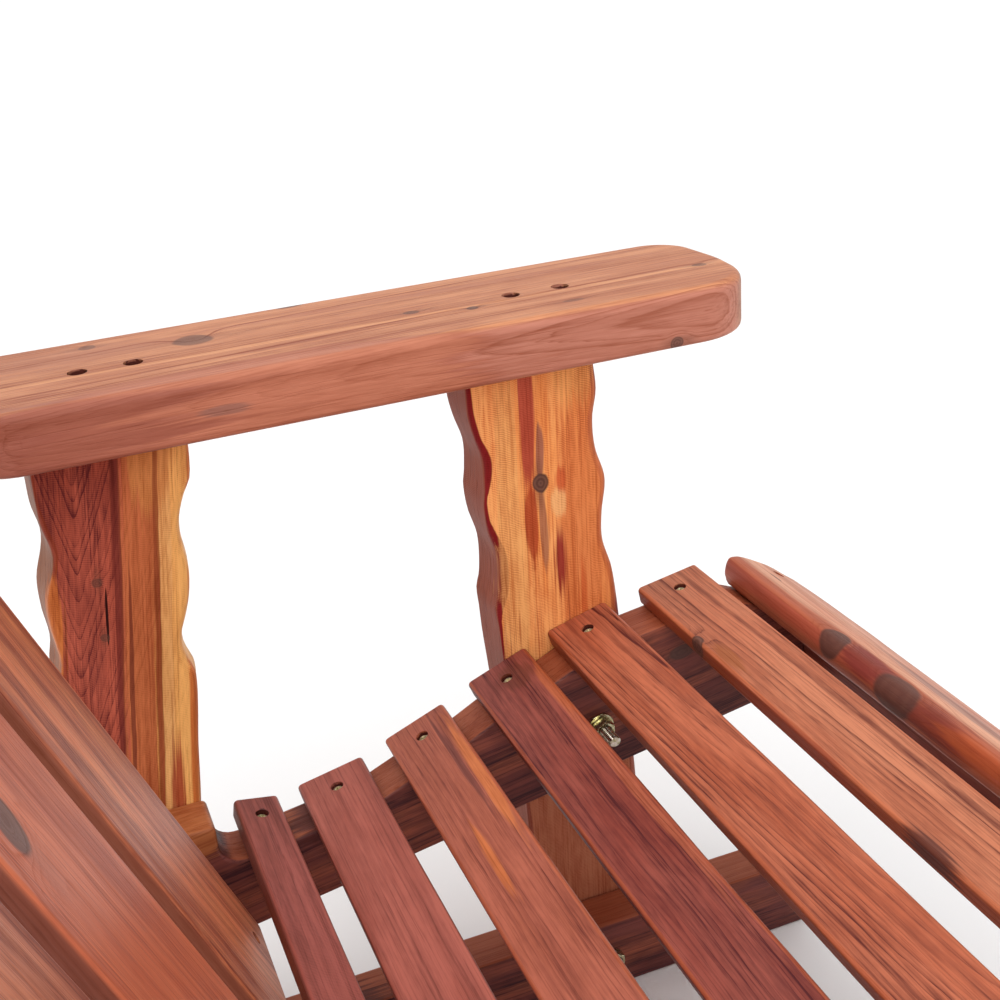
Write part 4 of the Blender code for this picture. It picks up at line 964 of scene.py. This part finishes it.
def thread(bm, place, low, high):
    """Threaded end of a bolt from low to high along its axis, with a chamfered tip at high."""
    around, rows = 20, int((high - low) / THREAD_PITCH * 6)
    rings = []
    for k in range(rows + 1):
        s = low + (high - low) * k / rows
        ring = []
        for i, a in enumerate(circle(around)):
            turn = (s / THREAD_PITCH - i / around) % 1.0
            cut = THREAD_DEPTH * (1 - abs(2 * turn - 1)) * min(1.0, (s - low) / THREAD_PITCH)
            ring.append(place @ polar(min(BOLT / 2 - cut, TIP + (high - s) * 1.2), a, s))
        rings.append(ring)
    loft(rings, bm)


def on_rail(side, y, z):
    """Placement on a side rail's inner face, looking inwards."""
    return looking_along((side * RAIL_INNER, y, z), (-side, 0, 0))


def washer(where, place):
    bore, rim, b = BOLT / 2 + 0.0002, WASHER_RIM, 0.0003
    low, high = FIT, FIT + WASHER_THICKNESS
    bm = turned([(bore, low), (rim - b, low), (rim, low + b), (rim, high - b),
                 (rim - b, high), (bore + b, high), (bore, high - b)], place, 40)
    hardware("eye_washer_" + where, bm, "eye_bolt_washer_" + where)


def nut(name, node, place, lift):
    """Hex nut whose corners are turned off by a cone, with a countersunk bore."""
    flat, high, bore = NUT_FLATS / 2, NUT_HEIGHT, BOLT / 2 - 0.0001
    tip = flat / cos(pi / 6) - 0.0012
    levels = [0.0, 0.0004, 0.0009, 0.0014, 0.002]
    profile = [(tip + h * 1.6, h) for h in levels]
    profile += [(tip + h * 1.6, high - h) for h in reversed(levels)]
    profile += [(bore + 0.0006, high), (bore, high - 0.0006), (bore, 0.0006),
                (bore + 0.0006, 0)]
    bm = loft([[place @ polar(min(flat / cos((a + pi / 6) % (pi / 3) - pi / 6), reach), a,
                              lift + FIT + h) for a in circle(60)]
               for reach, h in profile], closed=True)
    hardware(name, bm, node)


def eye_bolt(where, side, y, z):
    face = SUPPORT_OUTER + FIT
    r = BOLT / 2
    tip = RAIL_INNER - EYE_TAIL
    centre = face + 0.005 + EYE_RADIUS + r / 2
    bm = loft([[(side * (centre + (EYE_RADIUS + r * cos(a)) * cos(b)), y + r * sin(a),
                 z + (EYE_RADIUS + r * cos(a)) * sin(b)) for a in circle(16)]
               for b in circle(48)], closed=True)
    place = looking_along((side * tip, y, z), (side, 0, 0))
    base, neck = face - tip, centre - 0.0125 - tip
    turned([(0, 0.05), (SHANK, 0.05), (SHANK, base), (0.0095, base), (0.0095, base + 0.0025),
            (0.007, base + 0.0042), (0.0041, base + 0.0062), (0.0039, neck), (0, neck)],
           place, bm=bm)
    back = place @ Matrix.Rotation(pi, 4, "X")
    thread(bm, back, -THREAD_LENGTH, 0.0)
    hardware("eye_" + where, bm, "eye_bolt_" + where, BOLT_ZINC, shown(back))
    washer(where, on_rail(side, y, z))
    nut("eye_nut_" + where, "eye_bolt_nut_" + where, on_rail(side, y, z), FIT + WASHER_THICKNESS)


def carriage_bolt(label, side, y, z):
    place = looking_along((side * (SUPPORT_OUTER + FIT), y, z), (-side, 0, 0))
    length = SUPPORT_OUTER + FIT - RAIL_INNER + 0.0125
    dome = [(0.01 * sin(a), -0.005 * cos(a)) for a in quarter(8)]
    bm = turned(dome + [(SHANK, 0), (SHANK, length - 0.028), (0, length - 0.028)], place)
    thread(bm, place, length - 0.03, length)
    hardware("bolt_" + label, bm, "carriage_bolt_" + label, BOLT_ZINC,
             shown(place) @ Matrix.Translation((0, 0, length)))
    nut("nut_" + label, "bolt_nut_" + label, on_rail(side, y, z), 0)


def screw_head(r):
    """Pan-like head with a cross recess, its top at local height 0 and facing local -Z."""
    item = as_object("screw_head", turned(
        [(0, -0.0012), (r * 0.45, -0.0011), (r * 0.8, -0.0007), (r * 0.97, -0.0001),
         (r, 0.0004), (r * 0.9, 0.0019), (0, SCREW_HEAD)], segments=20))
    tool = bmesh.new()
    wide, long = r * 0.21, r * 0.66
    for turn in (0, pi / 2):
        arm_low = Matrix.Rotation(turn, 4, "Z")
        loft([[arm_low @ Vector((sx * l, sy * w, h))
               for sx, sy in ((1, 1), (-1, 1), (-1, -1), (1, -1))]
              for h, w, l in ((-0.004, wide * 1.4, long * 1.5),
                              (0.0009, wide * 0.6, long * 0.45))], tool)
    cutter = as_object("screw_recess", tool)
    cut_out(item, cutter, own_faces=True)
    made = applied(item)
    for old in (item, cutter):
        bpy.data.objects.remove(old)
    return made


def place_screws():
    for group, spots in SCREWS.items():
        width, sink = BORES[group]
        head = screw_head(width / 2 - 0.0006)
        bm = bmesh.new()
        for n, (origin, into) in enumerate(spots):
            copy = head.copy()
            copy.transform(looking_along(Vector(origin) + Vector(into) * (sink - SCREW_HEAD),
                                         into) @ Matrix.Rotation(0.7 + n * 1.9, 4, "Z"))
            bm.from_mesh(copy)
            bpy.data.meshes.remove(copy)
        hardware(f"screws_{group}", bm, finish=SCREW_ZINC)


# ---------- build
LOWER_RAIL = rounded([(LOWER_RAIL_FRONT, 0, 0.004), (LOWER_RAIL_REAR, 0, 0.004),
                      (LOWER_RAIL_REAR, LOWER_RAIL_HEIGHT, 0.015),
                      (LOWER_RAIL_FRONT, LOWER_RAIL_HEIGHT, 0.015)])
for label, side in SIDES.items():
    arm(label, side)
    support("front", label, side)
    support("rear", label, side)
    low, high = sorted((side * RAIL_INNER, side * HALF_SEAT))
    rail("rail_board_" + label, "seat_rail_" + label, low, high, side_rail_outline(), side)
    rail("lower_board_" + label, "lower_rail_" + label, low, high, LOWER_RAIL, side, 0, 0.03)
    post(label, side)
    for where in ("front", "rear"):
        spot = f"{where}_{label}"
        eye_bolt(spot, side, *EYE_BOLTS[where])
        carriage_bolt("rail_" + spot, side, *RAIL_BOLTS[where])
        carriage_bolt("foot_" + spot, side, *FOOT_BOLTS[where])
rail("rail_board_middle", "seat_rail_middle", -STOCK / 2, STOCK / 2, middle_rail_outline())
for k in range(6):
    slat(k)
    board(k + 1)
front_slat()
apron()
bar("bar_lower", "lower_back_rail", LOWER_BACK_RAIL, RAIL_INNER - FIT, 61)
bar("bar_base", "base_stretcher", BASE_STRETCHER, RAIL_INNER - FIT, 62)
bar("bar_top", "upper_back_rail", TOP_RAIL, (6 * BOARD_PITCH - BOARD_GAP) / 2, 63)
place_screws()


# ---------- studio
def studio():
    bpy.ops.mesh.primitive_plane_add(size=60, location=(0, 0, 0))
    floor = bpy.context.object
    floor.name = "studio_floor"
    g = Graph(bpy.data.materials.new("studio_floor_paint"))
    cloud = g.noise(g.take("Object", "TexCoord"), (0.8, 0.8, 0.8), 2)
    paint = g.mix(cloud, (0.91, 0.91, 0.91, 1), (0.93, 0.93, 0.93, 1))
    floor.data.materials.append(g.finish({"Base Color": paint, "Roughness": 0.7}))

    scene = bpy.context.scene
    scene.world = bpy.data.worlds.new("studio_air")
    g = Graph(scene.world)
    # the sky is whitest at the horizon, so that the floor has no visible far edge
    height = g.split(g.take("Generated", "TexCoord"))[2]
    fade = g.take(0, "MapRange", {0: height, 1: 0.04, 2: 0.3, 3: 1.05, 4: 0.75})
    sky = g.take(0, "Background", {"Color": (1.0, 1.0, 1.0, 1), "Strength": fade})
    g.add("OutputWorld", {"Surface": sky})
    for name, kind, spot, aim, size, power in (
            ("roof", "SUN", (-0.7, 0.4, 2.0), (0, 0, 0), radians(70), 1.45),
            ("key", "AREA", (-2.0, 0.6, 1.5), (0.5, -0.1, 0.4), 1.8, 30)):
        lamp = bpy.data.lights.new(name, kind)
        lamp.energy = power
        if kind == "SUN":
            lamp.angle = size
        else:
            lamp.shape, lamp.size = "DISK", size
        item = bpy.data.objects.new(name, lamp)
        item.location = spot
        item.rotation_mode = "QUATERNION"
        item.rotation_quaternion = (Vector(aim) - Vector(spot)).to_track_quat("-Z", "Y")
        scene.collection.objects.link(item)

    camera = bpy.data.cameras.new("photo_view")
    camera.lens, camera.sensor_width, camera.sensor_fit = 51.011, 36.0, "HORIZONTAL"
    camera.clip_start, camera.clip_end = 0.05, 100
    item = bpy.data.objects.new("photo_view", camera)
    right = Vector((-0.36727, -0.92731, -0.07221)).normalized()
    back = -Vector((0.86183, -0.31008, -0.40138)).normalized()
    turn = Matrix((right, back.cross(right).normalized(), back)).transposed().to_4x4()
    item.matrix_world = Matrix.Translation((-0.29577, 0.17689, 0.83895)) @ turn
    scene.collection.objects.link(item)
    scene.camera = item
    scene.view_settings.view_transform = "Standard"


studio()
